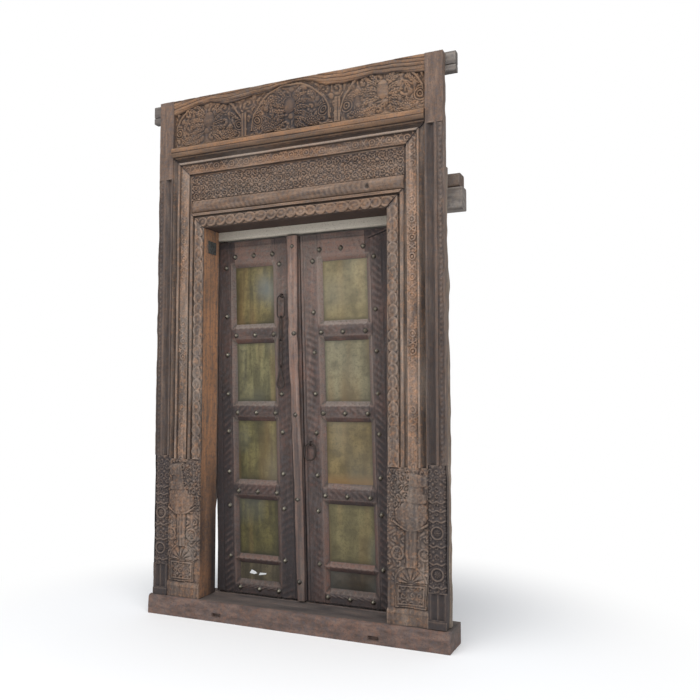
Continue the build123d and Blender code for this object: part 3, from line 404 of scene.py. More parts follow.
def scrolls(across, up, seed, turns=1.6):
    """Unit cells that each hold a spiral: the height is the cosine of the distance from the cell's middle,
    in turns, less the angle. Neighbours wind opposite ways, each starts at a chance angle, fine cuts
    cross the spiral, and a bud fills each corner."""
    i, j = np.floor(across).astype(int), np.floor(up).astype(int)
    chance = np.random.default_rng(seed).uniform(0, 1, (64, 64))[i % 64, j % 64]
    u, v = across - i - 0.5, up - j - 0.5
    hand = 1 - 2 * ((i + j) % 2)
    far = np.hypot(u, v) * 2
    angle = np.arctan2(v, u * hand) / (2 * math.pi) + chance
    spiral = 0.5 + 0.5 * np.cos(2 * math.pi * (far * turns - angle))
    spiral = spiral * (0.82 + 0.18 * np.cos(2 * math.pi * angle * 7))
    bud = ridge(np.hypot(0.5 - np.abs(u), 0.5 - np.abs(v)), 0.26)
    return np.maximum(spiral * np.clip(1.3 - far * 0.8, 0, 1), bud)


def petals(x, z, count, length):
    """Petals round a point: a ridge of |cos(count a / 2)|, which swells and falls along its length."""
    far = np.hypot(x, z) / length
    blade = np.abs(np.cos(np.arctan2(x, z) * count / 2)) ** 0.7
    return blade * np.clip(np.sin(math.pi * np.clip(far, 0, 1) ** 0.8), 0, None)


def jamb_foot(x, z):
    """Height of the foot's carving above its ground: plinth, square panel of scrolls, a fan of petals, a
    fluted stem between two round flowers, and the pot, whose radius follows the height and whose section
    is a half ellipse. Curled leaves fall over the pot's half on the doorway's side."""
    plinth = 0.010 * np.clip((plinth_height - z) / 0.010, 0, 1) + 0.002 * ridge(z - 0.050, 0.006)
    panel_edge = np.maximum(np.abs(x + 0.004) - panel_half_width,
                            np.abs(z - panel_middle) - panel_half_height)
    frame_lines = 0.004 + 0.003 * np.cos(panel_edge / 0.0065 * math.pi)
    panel_scrolls = 0.0065 * scrolls(x / 0.034 + 0.5, z / 0.034, 5, 1.3)
    panel = np.where(panel_edge < -panel_frame, panel_scrolls, frame_lines) * (panel_edge < 0)
    fan_far = np.hypot(x + 0.004, z - fan_height)
    fan = 0.009 * petals(x + 0.004, z - fan_height, 13, fan_reach)
    fan = np.maximum(fan, 0.006 * ridge(fan_far - 0.067, 0.006)) * (z > fan_height)
    flutes = 0.85 + 0.15 * np.cos(x / stem_half_width * math.pi * 3)
    stem = 0.013 * np.sqrt(ridge(x, stem_half_width)) * flutes
    stem = stem + 0.003 * ridge(z - 0.279, 0.008) * (np.abs(x) < 0.03)
    stem = stem * (z > stem_bottom) * (z < stem_top)
    flowers = 0
    for flower_x in flower_places:
        far = np.hypot(x - flower_x, z - flower_height)
        bloom = ridge(far, 0.020) * (0.75 + 0.25 * np.cos(7 * np.arctan2(x - flower_x, z - flower_height)))
        flowers = np.maximum(flowers, 0.010 * np.maximum(bloom, 0.8 * ridge(far - 0.025, 0.007)))
    curls = 0.0085 * scrolls(x / 0.045 + 0.2 * np.cos(z * 90), z / 0.048 + 0.3, 6, 1.1)
    curls = curls * (z > 0.176) * (z < 0.392) * (np.abs(x) > 0.028) * (fan_far > 0.072)
    radius = np.maximum(np.interp(z, pot_heights, pot_radii), 0.002)
    pot = 0.021 * (radius / max(pot_radii)) * np.sqrt(ridge(x, radius))
    pot = pot + 0.0030 * scrolls(x / 0.036 + 0.3, z / 0.036, 9, 1.1) * (pot > 0.006)
    saucer = 0.013 * ridge(z - 0.384 - 0.026 * (x / 0.07) ** 2, 0.0075) * (np.abs(x) < 0.080)
    fall = (x < np.interp(z, spray_heights, spray_edges)) * (z > spray_heights[0]) * (z < spray_heights[-1])
    sprays = 0.013 * scrolls(x / 0.030 + 0.25 * np.cos(z * 70), z / 0.036, 7, 1.25)
    covered = np.where(fall, pot * 0.45 + sprays, pot)
    beside = 0.009 * scrolls(x / 0.032, z / 0.040, 8, 1.2) * (pot < 0.002) * (z > 0.40) * (z < 0.632)
    return np.maximum.reduce([plinth, panel, fan, stem, flowers, curls, saucer, covered, beside])


def jamb_post(side, seed):
    """A grid across and up the jamb, with five more columns for the reveal and three for the back. Its rows
    are level up to the soffit and then stretch to the mitres of the inner and the outer band."""
    reveal = np.array([jamb_back, *reveal_lines])
    face = stations(sorted((*moulding_breaks[:-1], *band_step, jamb_width)), carving_step)
    behind = np.array([jamb_width, *band_step[::-1]])
    step = len(reveal) + np.argmin(np.abs(face - band_step[0]))
    last = len(reveal) + len(face) + 2
    end_parts = [np.append(np.arange(step + 1), last), np.array([step, step + 1, last - 1, last]),
                 np.arange(step + 1, last)]
    across = np.concatenate([reveal * 0, face, behind])[None]
    plain_y = np.concatenate([reveal, face * 0, behind * 0 + jamb_back])[None]
    on_reveal = np.concatenate([reveal * 0 + 1, face * 0, behind * 0])[None]
    on_face = np.concatenate([reveal * 0, face * 0 + 1, behind * 0])[None]
    level = np.linspace(z_door, z_soffit, 640)[:, None]
    stretch = np.linspace(0, 1, 90)[1:, None]
    outer_top = z_upper_band + across - inner_width
    top = np.where(across <= inner_width + 0.0001, z_soffit + across, outer_top) - mitre_gaps[side]
    z = np.concatenate([level + across * 0, z_soffit + stretch * (top - z_soffit)])
    up = z - z_door
    sway = 0.0012 * drift(up * 6 + across * 4, across * 12, seed)
    wear = np.clip(0.84 + 0.45 * drift(up * 7, across * 16, seed + 1), 0.3, 1.15)
    scroll = (across - ring_middle) / ring_half + 0.10 * drift(up * 14, across * 60, seed + 10)
    beads = (across - bead_middle) / bead_half + 0.10 * drift(up * 14, across * 60, seed + 11)
    hand = 0.16 * drift(up * 9, across * 0, seed + 2) + 0.06 * drift(up * 30, across * 40, seed + 12)
    rings = ring_relief * ring_chain(scroll, up / ring_pitch + hand)
    worn_beads = np.clip(0.8 + 0.6 * drift(up * 7, across * 9, seed + 13), 0.3, 1.1)
    beaded = bead_relief * worn_beads * bead_row(beads, up / bead_pitch + hand) * (np.abs(beads) < 1)
    cove = cove_depth - 0.010 * np.clip((z - z_soffit) / 0.25, 0, 1)
    shaft = moulding(across, cove) - wear * (rings + beaded)
    bent = 0.0030 * drift(up * 30, across * 30, seed + 14)
    foot = foot_ground - wear * jamb_foot(across - pot_middle + bent, up + bent)
    foot = foot + 0.0012 * drift(up * 90, across * 90, seed + 17)
    depth = np.where(up < foot_height, foot, shaft)
    y = jamb_front + depth + sway + 0.0007 * drift(up * 60, across * 160, seed + 3)
    y = np.where(on_face > 0, y, plain_y)
    x = side * (half_opening + across + 0.001 * on_reveal * drift(up * 3, across * 0, seed + 4)) + z * 0
    low = np.clip((0.75 - up) / 0.5, 0, 1)
    warm = on_reveal * np.clip(1.0 - 0.45 * low + 0.2 * drift(up * 2, across * 9, seed + 5), 0, 1)
    in_beads = (across > 0.086) & (across < 0.142) & (up > foot_height)
    warm = warm + in_beads * (0.20 + 0.3 * drift(up * 4, across * 0, seed + 6))
    warm = warm + (up < foot_height) * foot_warmth[side] * blots(up * 9, across * 22, seed + 7)
    # Painted shade in the cove, more on the left, with patches.
    in_cove = (across > 0.146) & (up > foot_height)
    stain = in_cove * (cove_shade[side] + 0.3 * drift(up * 3, across * 9, seed + 8))
    stain = stain + on_reveal * (low * 0.25 + 1.1 * low * blots(up * 2.5, plain_y * 60, seed + 15))
    to_mitre = np.exp(-((top - z) / (0.004 + 0.003 * (side > 0))) ** 2) * on_face
    stain = stain + 0.8 * to_mitre * (z > z_soffit)
    stain = stain + (up < foot_height) * on_face * (0.31 + 0.3 * drift(up * 9, across * 12, seed + 16))
    stain = stain + 0.12 * (side > 0) * (across < ring_band_end) * on_face
    bleach = on_face * blots(up * 4, across * 18, seed + 9) * 0.35
    bleach = bleach + 0.12 * on_reveal * (1 - low)
    in_band = (across < ring_band_end) | in_beads | (up < foot_height)
    carved = on_face * np.where(in_band, 1, 0.45)
    return x, y, z, dict(warm=np.clip(warm, 0, 1), stain=np.clip(stain, 0, 1), bleach=bleach, carved=carved,
                         end_parts=end_parts)


for side, name, seed in ((-1, "left", 20), (1, "right", 40)):
    x, y, z, marks = jamb_post(side, seed)
    carved_board(f"carved_jamb_{name}", x, y, z, None, "frame", "frame_wood", jamb_wood,
                 [f"jamb_{name}"], depth=0.0040, **marks)

# Outer posts: narrow planks up the sides of the frame, carved in one piece each. A turned column with
# round knots stands on a fluted foot, a hollow and a string of pearls run above it, and the head is plain.
post_low, post_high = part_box("outer_post_right")
post_width = post_high.x - post_low.x
post_foot_height = 0.653
post_breaks = (0, 0.006, 0.0075, 0.038, 0.0395, 0.050, 0.0515, 0.076, 0.0775, 0.080)
post_depths = (0, 0, 0.003, 0.003, 0, 0, 0.005, 0.005, 0.001, 0.001)
pearl_middle, pearl_half, pearl_height, pearl_pitch = 0.0637, 0.0065, 0.004, 0.0225
knot_heights, knot_radius = (0.217, 0.382), 0.030
collar_heights = (0.165, 0.258, 0.328, 0.428, 0.470, 0.505)
column_heights = (0.144, 0.165, 0.190, 0.217, 0.245, 0.290, 0.350, 0.382, 0.415, 0.450, 0.505, 0.520, 0.653)
column_radii = (0.036, 0.039, 0.034, 0.038, 0.034, 0.039, 0.034, 0.038, 0.034, 0.039, 0.035, 0.039, 0.039)
groove_bottom, groove_top = 0.036, 0.138
hollow_from, hollow_width, hollow_depth = 0.0075, 0.0305, 0.013
post_heads = {-1: 1.996, 1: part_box("cornice_ledge")[0].z - z_door - 0.02}
post_wood = weathered_wood("post wood", tone(102, 88, 80), tone(136, 119, 106), tone(64, 55, 50),
                           tone(130, 97, 74), along_z)


def post_front(across, up, head):
    """Depth of the post's front: a hollow that follows half a sine wave, a fillet, and a sunk strip of
    pearls; at the foot a half-round column whose radius follows the height, with scrolls, ringed knots and
    waved collars over a fluted panel; and above the head's height a plain face."""
    hollow = np.clip((across - hollow_from) / hollow_width, 0, 1)
    shaft = np.interp(across, post_breaks, post_depths) + hollow_depth * np.sin(math.pi * hollow)
    step = up / pearl_pitch - np.round(up / pearl_pitch)
    pearl = np.hypot((across - pearl_middle) / pearl_half, step / 0.36)
    shaft = shaft - pearl_height * np.sqrt(ridge(pearl, 1))
    x = across - post_width / 2
    turned = 0.012 * np.sqrt(ridge(x, np.interp(up, column_heights, column_radii)))
    waves = 0.003 * (0.5 + 0.5 * np.cos(2 * math.pi * (up / 0.021 + np.abs(x) / 0.034)))
    carving = np.maximum(waves, 0.0065 * scrolls(x / 0.033 + 0.5, up / 0.034, 61, 1.2))
    for knot_z in knot_heights:
        far = np.hypot(x, up - knot_z)
        bloom = ridge(far, knot_radius * 0.6) * (0.7 + 0.3 * np.cos(8 * np.arctan2(x, up - knot_z)))
        rings = 0.0075 * np.maximum(ridge(far - knot_radius * 0.82, 0.006), bloom)
        carving = np.where(far < knot_radius, rings, carving)
    for collar in collar_heights:
        carving = np.maximum(carving, 0.0075 * ridge(up - collar - 0.003 * np.cos(x * 180), 0.0065))
    column = 0.015 - turned - carving
    grooves = np.abs(np.sin(np.clip((across - 0.010) / 0.060, 0, 1) * math.pi * 2))
    panel = 0.003 + 0.008 * grooves * (up > groove_bottom) * (up < groove_top)
    foot = np.where(up > column_heights[0], column, np.where(up > 0.031, panel, 0))
    return np.where(up < post_foot_height, foot, np.where(up > head, 0.0015, shaft))


for side, name, seed in ((-1, "left", 60), (1, "right", 80)):
    face = stations((*post_breaks[:-1], post_width), 0.0026)
    across = np.concatenate([face, [post_width, post_width]])[None]
    outside = np.concatenate([face * 0, [0.5, 1]])[None]
    z = np.linspace(z_door, post_high.z, 900)[:, None] + across * 0
    up = z - z_door
    head = post_heads[side]
    wear = 0.0010 * drift(up * 8, across * 20, seed) + 0.0006 * drift(up * 70, across * 150, seed + 1)
    y = post_front(across, up, head) + wear
    y = np.where(outside > 0, 0.006 + (outside - 0.5) * 0.06, y)
    nibble = 0.0035 * blots(up * 14, across * 0, seed + 2) * (across > 0.07)
    x = side * (post_low.x + across - nibble)
    shaft = (up > post_foot_height) & (up < head)
    patches = 0.30 * drift(up * 2.5, across * 14, seed + 3)
    stain = shaft * (0.44 + 0.16 * (across < 0.040) * (side > 0) + patches) * (across < 0.078)
    foot_patches = np.clip(drift(up * 6, across * 9, seed + 4) + 0.5, 0, 1)
    stain = stain + (up < 0.033) * 0.45 + (up < post_foot_height) * (0.50 + 0.35 * foot_patches)
    stain = stain + (up > head) * (0.12 + 0.25 * blots(up * 12, across * 30, seed + 5))
    edge = np.exp(-((across - 0.045) / 0.004) ** 2) * 0.5 * shaft
    spot = 0.9 * np.exp(-((up - 0.646) / 0.010) ** 2 - ((across - 0.020) / 0.014) ** 2) * (side < 0)
    warm = edge + spot + outside * 0.3 + (up > head) * 0.35
    carved = (outside == 0) * np.where(shaft, 0.4, 1)
    carved_board(f"carved_post_{name}", x, y, z, post_high.y, "frame", "frame_wood", post_wood,
                 [f"outer_post_{name}"], 0.0035, carved, stain=np.clip(stain, 0, 0.9),
                 warm=np.clip(warm, 0, 1), bleach=outside * 0.25)

# Lintel: boards set over the doorway between the jambs. The lower band and the upper band carry the
# jambs' mouldings round the corner on a mitre, with a rounded rail and a recessed tablet between them.
lintel_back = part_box("lintel_tablet")[1].y
z_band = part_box("lintel_torus")[0].z
z_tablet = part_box("lintel_tablet")[0].z
soffit_lines = (0.070, 0.016)
torus_ground, torus_swell, torus_stroke = 0.024, 0.019, 0.026
knot_hole = (0.375, 0.45)
tablet_ground, tablet_relief = 0.027, 0.0100
scroll_width, scroll_height = 0.042, 0.038
lintel_wood = weathered_wood("lintel wood", tone(100, 82, 70), tone(140, 117, 99), tone(58, 47, 41),
                             tone(138, 98, 68), along_x)


def mitre_shade(x, across):
    """Dirt in the open mitre joints, wider on the right: a bell curve over the way from a line's end."""
    return np.exp(-((half_opening + across - np.abs(x)) / np.where(x > 0, 0.007, 0.004)) ** 2)


def mitred(across, count):
    """X of so many points along each of a band's lines: a line ends on the mitre, so its half length grows
    with its way from the doorway, less the joint's gap."""
    share = np.linspace(-1, 1, count)[:, None]
    return share * (half_opening + across - np.where(share < 0, mitre_gaps[-1], mitre_gaps[1]))


def lower_band():
    """The inner band's section up from the soffit, with its row of rings, along mitred lines. Three columns
    more make the soffit, and one the back's upper edge."""
    under = np.array([jamb_back, *soffit_lines])
    face = stations((*moulding_breaks[:7], inner_width), carving_step)
    across = np.concatenate([under * 0, face, [inner_width]])[None]
    plain_y = np.concatenate([under, face * 0, [jamb_back]])[None]
    below = np.concatenate([under * 0 + 1, face * 0, [0]])[None]
    x = mitred(across, 420)
    scroll = (across - ring_middle) / ring_half + 0.10 * drift(x * 14, across * 60, 100)
    wear = np.clip(0.85 + 0.4 * drift(x * 5, across * 14, 101), 0.25, 1.15)
    hand = 0.16 * drift(x * 9, across * 0, 102)
    rings = 0.0085 * ring_chain(scroll, x / ring_pitch + hand)
    y = jamb_front + moulding(across) - wear * rings + 0.0011 * drift(x * 7, across * 14, 103)
    y = y + 0.0006 * drift(x * 60, across * 160, 104)
    y = np.where(plain_y > 0, plain_y, y)
    chipped = 0.004 * blots(x * 22, x * 0, 105) * (across < 0.002) * (1 - below)
    z = z_soffit + across + chipped + x * 0
    # The soffit, which faces down, is made warm and dark with painted shade.
    warm = below * 0.95 + 0.25 * blots(x * 4, across * 20, 106)
    stain = below * 0.84 + 0.8 * mitre_shade(x, across)
    bleach = 0.2 * blots(x * 3, across * 9, 107)
    return x, y, z, dict(warm=warm, stain=stain, bleach=bleach, carved=plain_y == 0)


def torus_rail():
    """A half-round rail: its section is a half ellipse that shrinks to nothing over a round end, and worn
    slanting strokes and a knot hole cut it."""
    height = z_tablet - z_band
    across = np.linspace(0, 1, 25)[None]
    x = np.linspace(-half_tablet + 0.0015, half_tablet - 0.0015, 420)[:, None] + across * 0
    end = np.clip((half_tablet - np.abs(x)) / (height / 2), 0, 1)
    swell = np.sqrt(ridge(2 * across - 1, 1)) * np.sqrt(ridge(1 - end, 1))
    strokes = 0.0024 * np.cos(2 * math.pi * (x / torus_stroke + 0.5 * np.sin(math.pi * across))) * swell
    worn = np.clip(0.6 + 0.6 * drift(x * 4, across * 2, 111), 0, 1)
    knot = 0.010 * np.exp(-((x - knot_hole[0]) / 0.011) ** 2 - ((across - knot_hole[1]) / 0.2) ** 2)
    y = jamb_front + torus_ground - torus_swell * swell + strokes * worn + knot
    y = y + 0.0008 * drift(x * 30, across * 6, 112)
    z = z_band + across * height + 0 * x
    stain = np.clip(0.10 + 0.45 * drift(x * 7, across * 3, 114), 0, 0.6)
    warm = 0.30 * blots(x * 3, across * 2, 113)
    return x, y, z, dict(warm=warm, bleach=0.15 * worn * swell, stain=stain)


def tablet_board():
    """A recessed board under three rows of scrolls, which bend a little by chance and fade where worn."""
    z = np.linspace(z_tablet, z_upper_band, 52)[None]
    x = np.linspace(-half_tablet + 0.001, half_tablet - 0.001, 520)[:, None] + z * 0
    z = z + x * 0
    u = (x + 0.005 * drift(x * 22, z * 22, 121)) / scroll_width
    v = (z - z_tablet + 0.005 * drift(x * 22, z * 22, 122) - 0.004) / scroll_height
    wear = np.clip(0.9 + 0.4 * drift(x * 4, z * 10, 123), 0.3, 1.15)
    carved = np.maximum(scrolls(u, v, 127, 1.5), 0.7 * scrolls(u * 2 + 0.5, v * 2 + 0.5, 128, 1.0))
    rim = np.maximum(np.abs(x) - half_tablet + 0.012, 0) / 0.012
    y = tablet_ground - tablet_relief * wear * carved - 0.002 * rim + 0.001 * drift(x * 6, z * 9, 124)
    y = y + 0.0008 * drift(x * 90, z * 90, 129)
    # Painted shade along the tablet's top, under the upper band.
    under_band_shade = 0.5 * np.clip((z - z_upper_band + 0.012) / 0.012, 0, 1)
    stain = np.clip(0.16 + 0.25 * drift(x * 5, z * 9, 126) + under_band_shade, 0, 0.9)
    return x, y, z, dict(bleach=0.2 * blots(x * 5, z * 9, 125), stain=stain)


def upper_band():
    """The outer band's section up from the tablet, with its row of ovals and crosses and a shallow hollow,
    along mitred lines."""
    across = stations((band_step[1], *moulding_breaks[8:-1], jamb_width), carving_step)[None]
    x = mitred(across, 500)
    beads = (across - bead_middle) / bead_half
    wear = np.clip(0.7 + 0.5 * drift(x * 5, across * 14, 131), 0.15, 1.1)
    hand = 0.1 * drift(x * 9, across * 0, 132)
    beaded = 0.0040 * bead_row(beads, x / bead_pitch + hand) * (np.abs(beads) < 1)
    y = jamb_front + moulding(across, 0.005) - wear * beaded + 0.0012 * drift(x * 7, across * 14, 133)
    y = y + 0.0006 * drift(x * 60, across * 160, 134)
    z = z_upper_band + across - inner_width + x * 0
    warm = 0.45 * np.clip(0.2 + drift(x * 3, across * 20, 135), 0, 1)
    # Painted shade in the hollow under the ledge, with patches.
    stain = 0.4 * (across > 0.148) * (across < 0.174) * np.clip(0.3 + drift(x * 3, across * 9, 136), 0, 1)
    stain = stain + 0.8 * mitre_shade(x, across)
    bleach = 0.5 * (across > 0.139) * (across < 0.149) + 0.2 * blots(x * 4, across * 9, 137)
    return x, y, z, dict(warm=warm, stain=stain, bleach=bleach)


for board, front, back, depth in (("lower_band", lower_band, None, 0.0022),
                                  ("torus", torus_rail, lintel_back, 0.0022),
                                  ("tablet", tablet_board, lintel_back, 0.0015),
                                  ("upper_band", upper_band, lintel_back, 0.0022)):
    x, y, z, marks = front()
    carved_board(f"carved_{board}", x, y, z, back, "frame", "frame_wood", lintel_wood, [f"lintel_{board}"],
                 depth, **marks)

# Cornice ledge and frieze: a plank with a rounded nose lies on the upper band, and on it stands a wide
# board with three shallow arches, shields and leaf sprays in them, and dark stains of smoke and oil.
ledge_low, ledge_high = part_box("cornice_ledge")
frieze_low, frieze_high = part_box("frieze_board")
nose_depth, nose_groove = 0.022, 0.42
warm_wood = weathered_wood("warm wood", tone(102, 82, 68), tone(138, 113, 91), tone(60, 49, 42),
                           tone(140, 100, 68), along_x)


def ledge_plank():
    """A nose as high as the plank, whose depth is the cube root of 1 less the cube of the way off its
    middle, with a groove a little below the middle."""
    across = np.linspace(0, 1, 25)[None]
    x = np.linspace(ledge_low.x + 0.001, ledge_high.x - 0.001, 420)[:, None] + across * 0
    nose = np.clip(1 - np.abs(2 * across - 1) ** 3, 0, None) ** (1 / 3)
    y = ledge_low.y + nose_depth * (1 - nose) + 0.0015 * (1 + drift(x * 6, across * 3, 141))
    y = y + 0.003 * ridge(across - nose_groove, 0.06)
    z = ledge_low.z + across * (ledge_high.z - ledge_low.z) + x * 0
    # Painted shade on the lower part of the nose, which faces down; there it is also less warm.
    lower = (across < nose_groove) * 0.45
    return x, y, z, dict(warm=np.clip(0.65 + 0.3 * drift(x * 4, across * 3, 142) - lower, 0, 1),
                         stain=lower * np.clip(0.7 + drift(x * 6, across * 2, 143), 0, 1.4))


x, y, z, marks = ledge_plank()
carved_board("worn_ledge", x, y, z, ledge_high.y, "frame", "warm_wood", warm_wood, ["cornice_ledge"],
             **marks)

arch_middles = (-0.450, -0.007, 0.450)
arch_half_width, arch_rise, arch_spring = 0.205, 0.200, 0.02
arch_columns, column_half_width, column_height = (-0.250, 0.235), 0.014, 0.125
shield_half_width, shield_half_height, shield_middle = 0.030, 0.040, 0.122
curl_out, curl_up, curl_radius = 0.170, 0.075, 0.030
frieze_ground, frieze_curl, scattered_leaves = 0.0175, 0.066, 60
# Each stain has its x, its height, and how wide and high it spreads.
frieze_stains = ((-0.36, 0.10, 0.20, 0.07), (0.0, 0.13, 0.17, 0.08), (-0.02, 0.05, 0.17, 0.06),
                 (0.30, 0.05, 0.05, 0.05), (-0.15, 0.03, 0.12, 0.04), (0.13, 0.07, 0.10, 0.06))


def leaves(x, z, places):
    """Carved leaves, the highest of all at each point. Each has a foot, a turn, a length, a half width and
    a bend: its middle line leaves the straight by the square of the way along, its half width follows a
    half sine, and its rounded top is cut by a midrib and slanting veins."""
    height = np.zeros_like(x)
    for foot_x, foot_z, turn, length, half_width, bend in places:
        along = ((x - foot_x) * math.sin(turn) + (z - foot_z) * math.cos(turn)) / length
        off = ((x - foot_x) * math.cos(turn) - (z - foot_z) * math.sin(turn)) / length - bend * along ** 2
        inside = np.clip(np.sin(math.pi * np.clip(along, 0, 1)), 0.001, None) ** 0.7 * half_width / length
        side_share = np.clip(np.abs(off) / inside, 0, 1)
        veins = 0.78 + 0.22 * np.cos(2 * math.pi * (along * 5 - side_share * 0.8))
        blade = (1 - side_share ** 2) * veins * (1 - 0.45 * ridge(side_share, 0.22))
        height = np.maximum(height, blade * (along > 0) * (along < 1))
    return height


def frieze_front():
    """Each arch is half an ellipse of raised line between two plain columns. Curls fill the ground, chance
    leaves lie over them, sprays of leaves stand beside a small smooth shield in each arch, and a ringed
    curl closes each foot of an arch."""
    z = np.linspace(frieze_low.z, frieze_high.z, 100)[None]
    x = np.linspace(frieze_low.x + 0.001, frieze_high.x - 0.001, 540)[:, None] + z * 0
    z = z + x * 0
    up = z - frieze_low.z
    bent_x = x + 0.005 * drift(x * 22, up * 22, 151)
    bent_z = up + 0.005 * drift(x * 22, up * 22, 152)
    carved = 0.0085 * scrolls(bent_x / frieze_curl, bent_z / frieze_curl, 159, 1.3)
    chance = np.random.default_rng(160)
    scattered = [(chance.uniform(-0.62, 0.62), chance.uniform(0, 0.2), chance.uniform(-3, 3),
                  chance.uniform(0.050, 0.080), chance.uniform(0.011, 0.016), chance.uniform(-0.4, 0.4))
                 for _ in range(scattered_leaves)]
    carved = np.maximum(carved, 0.0105 * leaves(bent_x, bent_z, scattered))
    for middle in arch_middles:
        out = bent_x - middle
        far = np.hypot(out / arch_half_width, np.clip(bent_z - arch_spring, 0, None) / arch_rise)
        sprays = []
        for hand in (-1, 1):
            sprays += [(middle + hand * 0.024, 0.150 - 0.018 * k, hand * (0.45 + 0.25 * k), 0.072, 0.014,
                        0.25 * hand) for k in range(7)]
            sprays += [(middle + hand * 0.112, 0.012, hand * (0.42 * k - 1.05), 0.060, 0.013, 0.2)
                       for k in range(6)]
        carved = np.maximum(carved, 0.0120 * leaves(bent_x, bent_z, sprays))
        for hand in (-1, 1):
            curl = np.hypot(out - hand * curl_out, bent_z - curl_up)
            rings = (0.5 + 0.5 * np.cos(2 * math.pi * curl / 0.0125)) * np.clip(1.25 - curl / 0.036, 0, 1)
            carved = np.where(curl < curl_radius, 0.0105 * rings, carved)
        shield = np.hypot(out / shield_half_width, (bent_z - shield_middle) / shield_half_height)
        carved = np.where(shield < 1, 0.0120 * ridge(shield, 1.25), carved)
        carved = np.maximum(carved, 0.0105 * ridge(far - 1, 0.035) * (up > 0.03))
        carved = np.where(np.abs(far - 1.07) < 0.025, carved * 0.3, carved)
    for column in arch_columns:
        strip = np.abs(x - column)
        in_column = (strip < column_half_width) & (up < column_height)
        carved = np.where(in_column, 0.0080 - 0.003 * ridge(strip, 0.004), carved)
    plain = np.clip((np.abs(x) - frieze_high.x + 0.012) / 0.004, 0, 1)
    wear = np.clip(0.85 + 0.5 * drift(x * 6, up * 10, 153), 0.25, 1.15) * (1 - plain) * (up > 0.008)
    y = frieze_ground - wear * carved + 0.0012 * drift(x * 5, up * 9, 154)
    stain = 0
    for stain_x, stain_z, wide, high in frieze_stains:
        stain = stain + np.exp(-((x - stain_x) / wide) ** 2 - ((up - stain_z) / high) ** 2)
    under_rail = np.clip((up - 0.17) / 0.05, 0, 1) * (np.abs(x) < 0.5) * blots(x * 5, up * 4, 156)
    stain = np.clip(stain * (0.68 + 0.6 * drift(x * 18, up * 18, 155)), 0, 0.85) + 0.5 * under_rail
    warm = np.clip(0.15 + 0.5 * drift(x * 8, up * 10, 157) + 0.2 * (x < -0.5), 0, 1)
    bleach = np.clip((x - 0.15) / 0.5, 0, 1) * (0.12 + 0.3 * drift(x * 8, up * 8, 158))
    return x, y, z, dict(stain=np.clip(stain, 0, 0.9), warm=warm, bleach=np.clip(bleach, 0, 1) * 0.4)


x, y, z, marks = frieze_front()
carved_board("carved_frieze", x, y, z, frieze_high.y, "frame", "warm_wood", warm_wood, ["frieze_board"],
             depth=0.0016, **marks)

# Head rail: a thin plank fixed over the head of the frieze. Its lower edge is left waney, as the tree
# grew, and its face shows long orange grain.
rail_low, rail_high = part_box("head_rail")
waney_x = (-0.645, -0.525, -0.437, -0.350, -0.230, -0.113, -0.066, 0.024, 0.114, 0.179, 0.328, 0.410, 0.530,
           0.645)
waney_z = (2.396, 2.432, 2.439, 2.415, 2.431, 2.438, 2.455, 2.461, 2.450, 2.413, 2.412, 2.426, 2.414,
           2.399)
x = np.linspace(rail_low.x + 0.001, rail_high.x - 0.001, 430)[:, None]
across = np.linspace(0, 1, 26)[None]
edge = np.interp(x, waney_x, waney_z) + 0.004 * drift(x * 30, x * 0, 161)
z = edge + (rail_high.z - 0.0005 - edge) * across
x = x + across * 0
round_edge = 0.008 * np.clip(1 - (z - edge) / 0.014, 0, 1) ** 2
grooves = 0.0022 * ridge(np.sin((z - 0.4 * edge) * 190 + 3 * drift(x * 3, z * 0, 162)), 0.5)
y = 0.002 + round_edge + grooves + 0.002 * drift(x * 4, across * 4, 163) * (1 - across)
y = y + 0.001 * (1 + drift(x * 20, across * 8, 164))
carved_board("waney_head_rail", x, y, z, rail_high.y, "frame", "warm_wood", warm_wood, ["head_rail"],
             warm=np.clip(0.25 + 0.55 * drift(x * 4, (z - edge) * 40, 165), 0, 0.8),
             stain=np.clip(0.5 * (1 - across * 3) + 0.40 * drift(x * 5, across * 3, 166), 0, 0.8))

# Rear frame: plain sawn and hewn timbers fixed behind the carved front. They hold the pivots, and their
# horns stick out past the posts, grey and split from the weather.
grey_wood = weathered_wood("grey wood", tone(132, 125, 119), tone(158, 151, 144), tone(92, 85, 80),
                           tone(134, 116, 100), along_x, 0.88)
raw_wood = weathered_wood("raw wood", tone(134, 120, 106), tone(178, 165, 148), tone(88, 75, 65),
                          tone(146, 118, 92), along_z, 0.88)


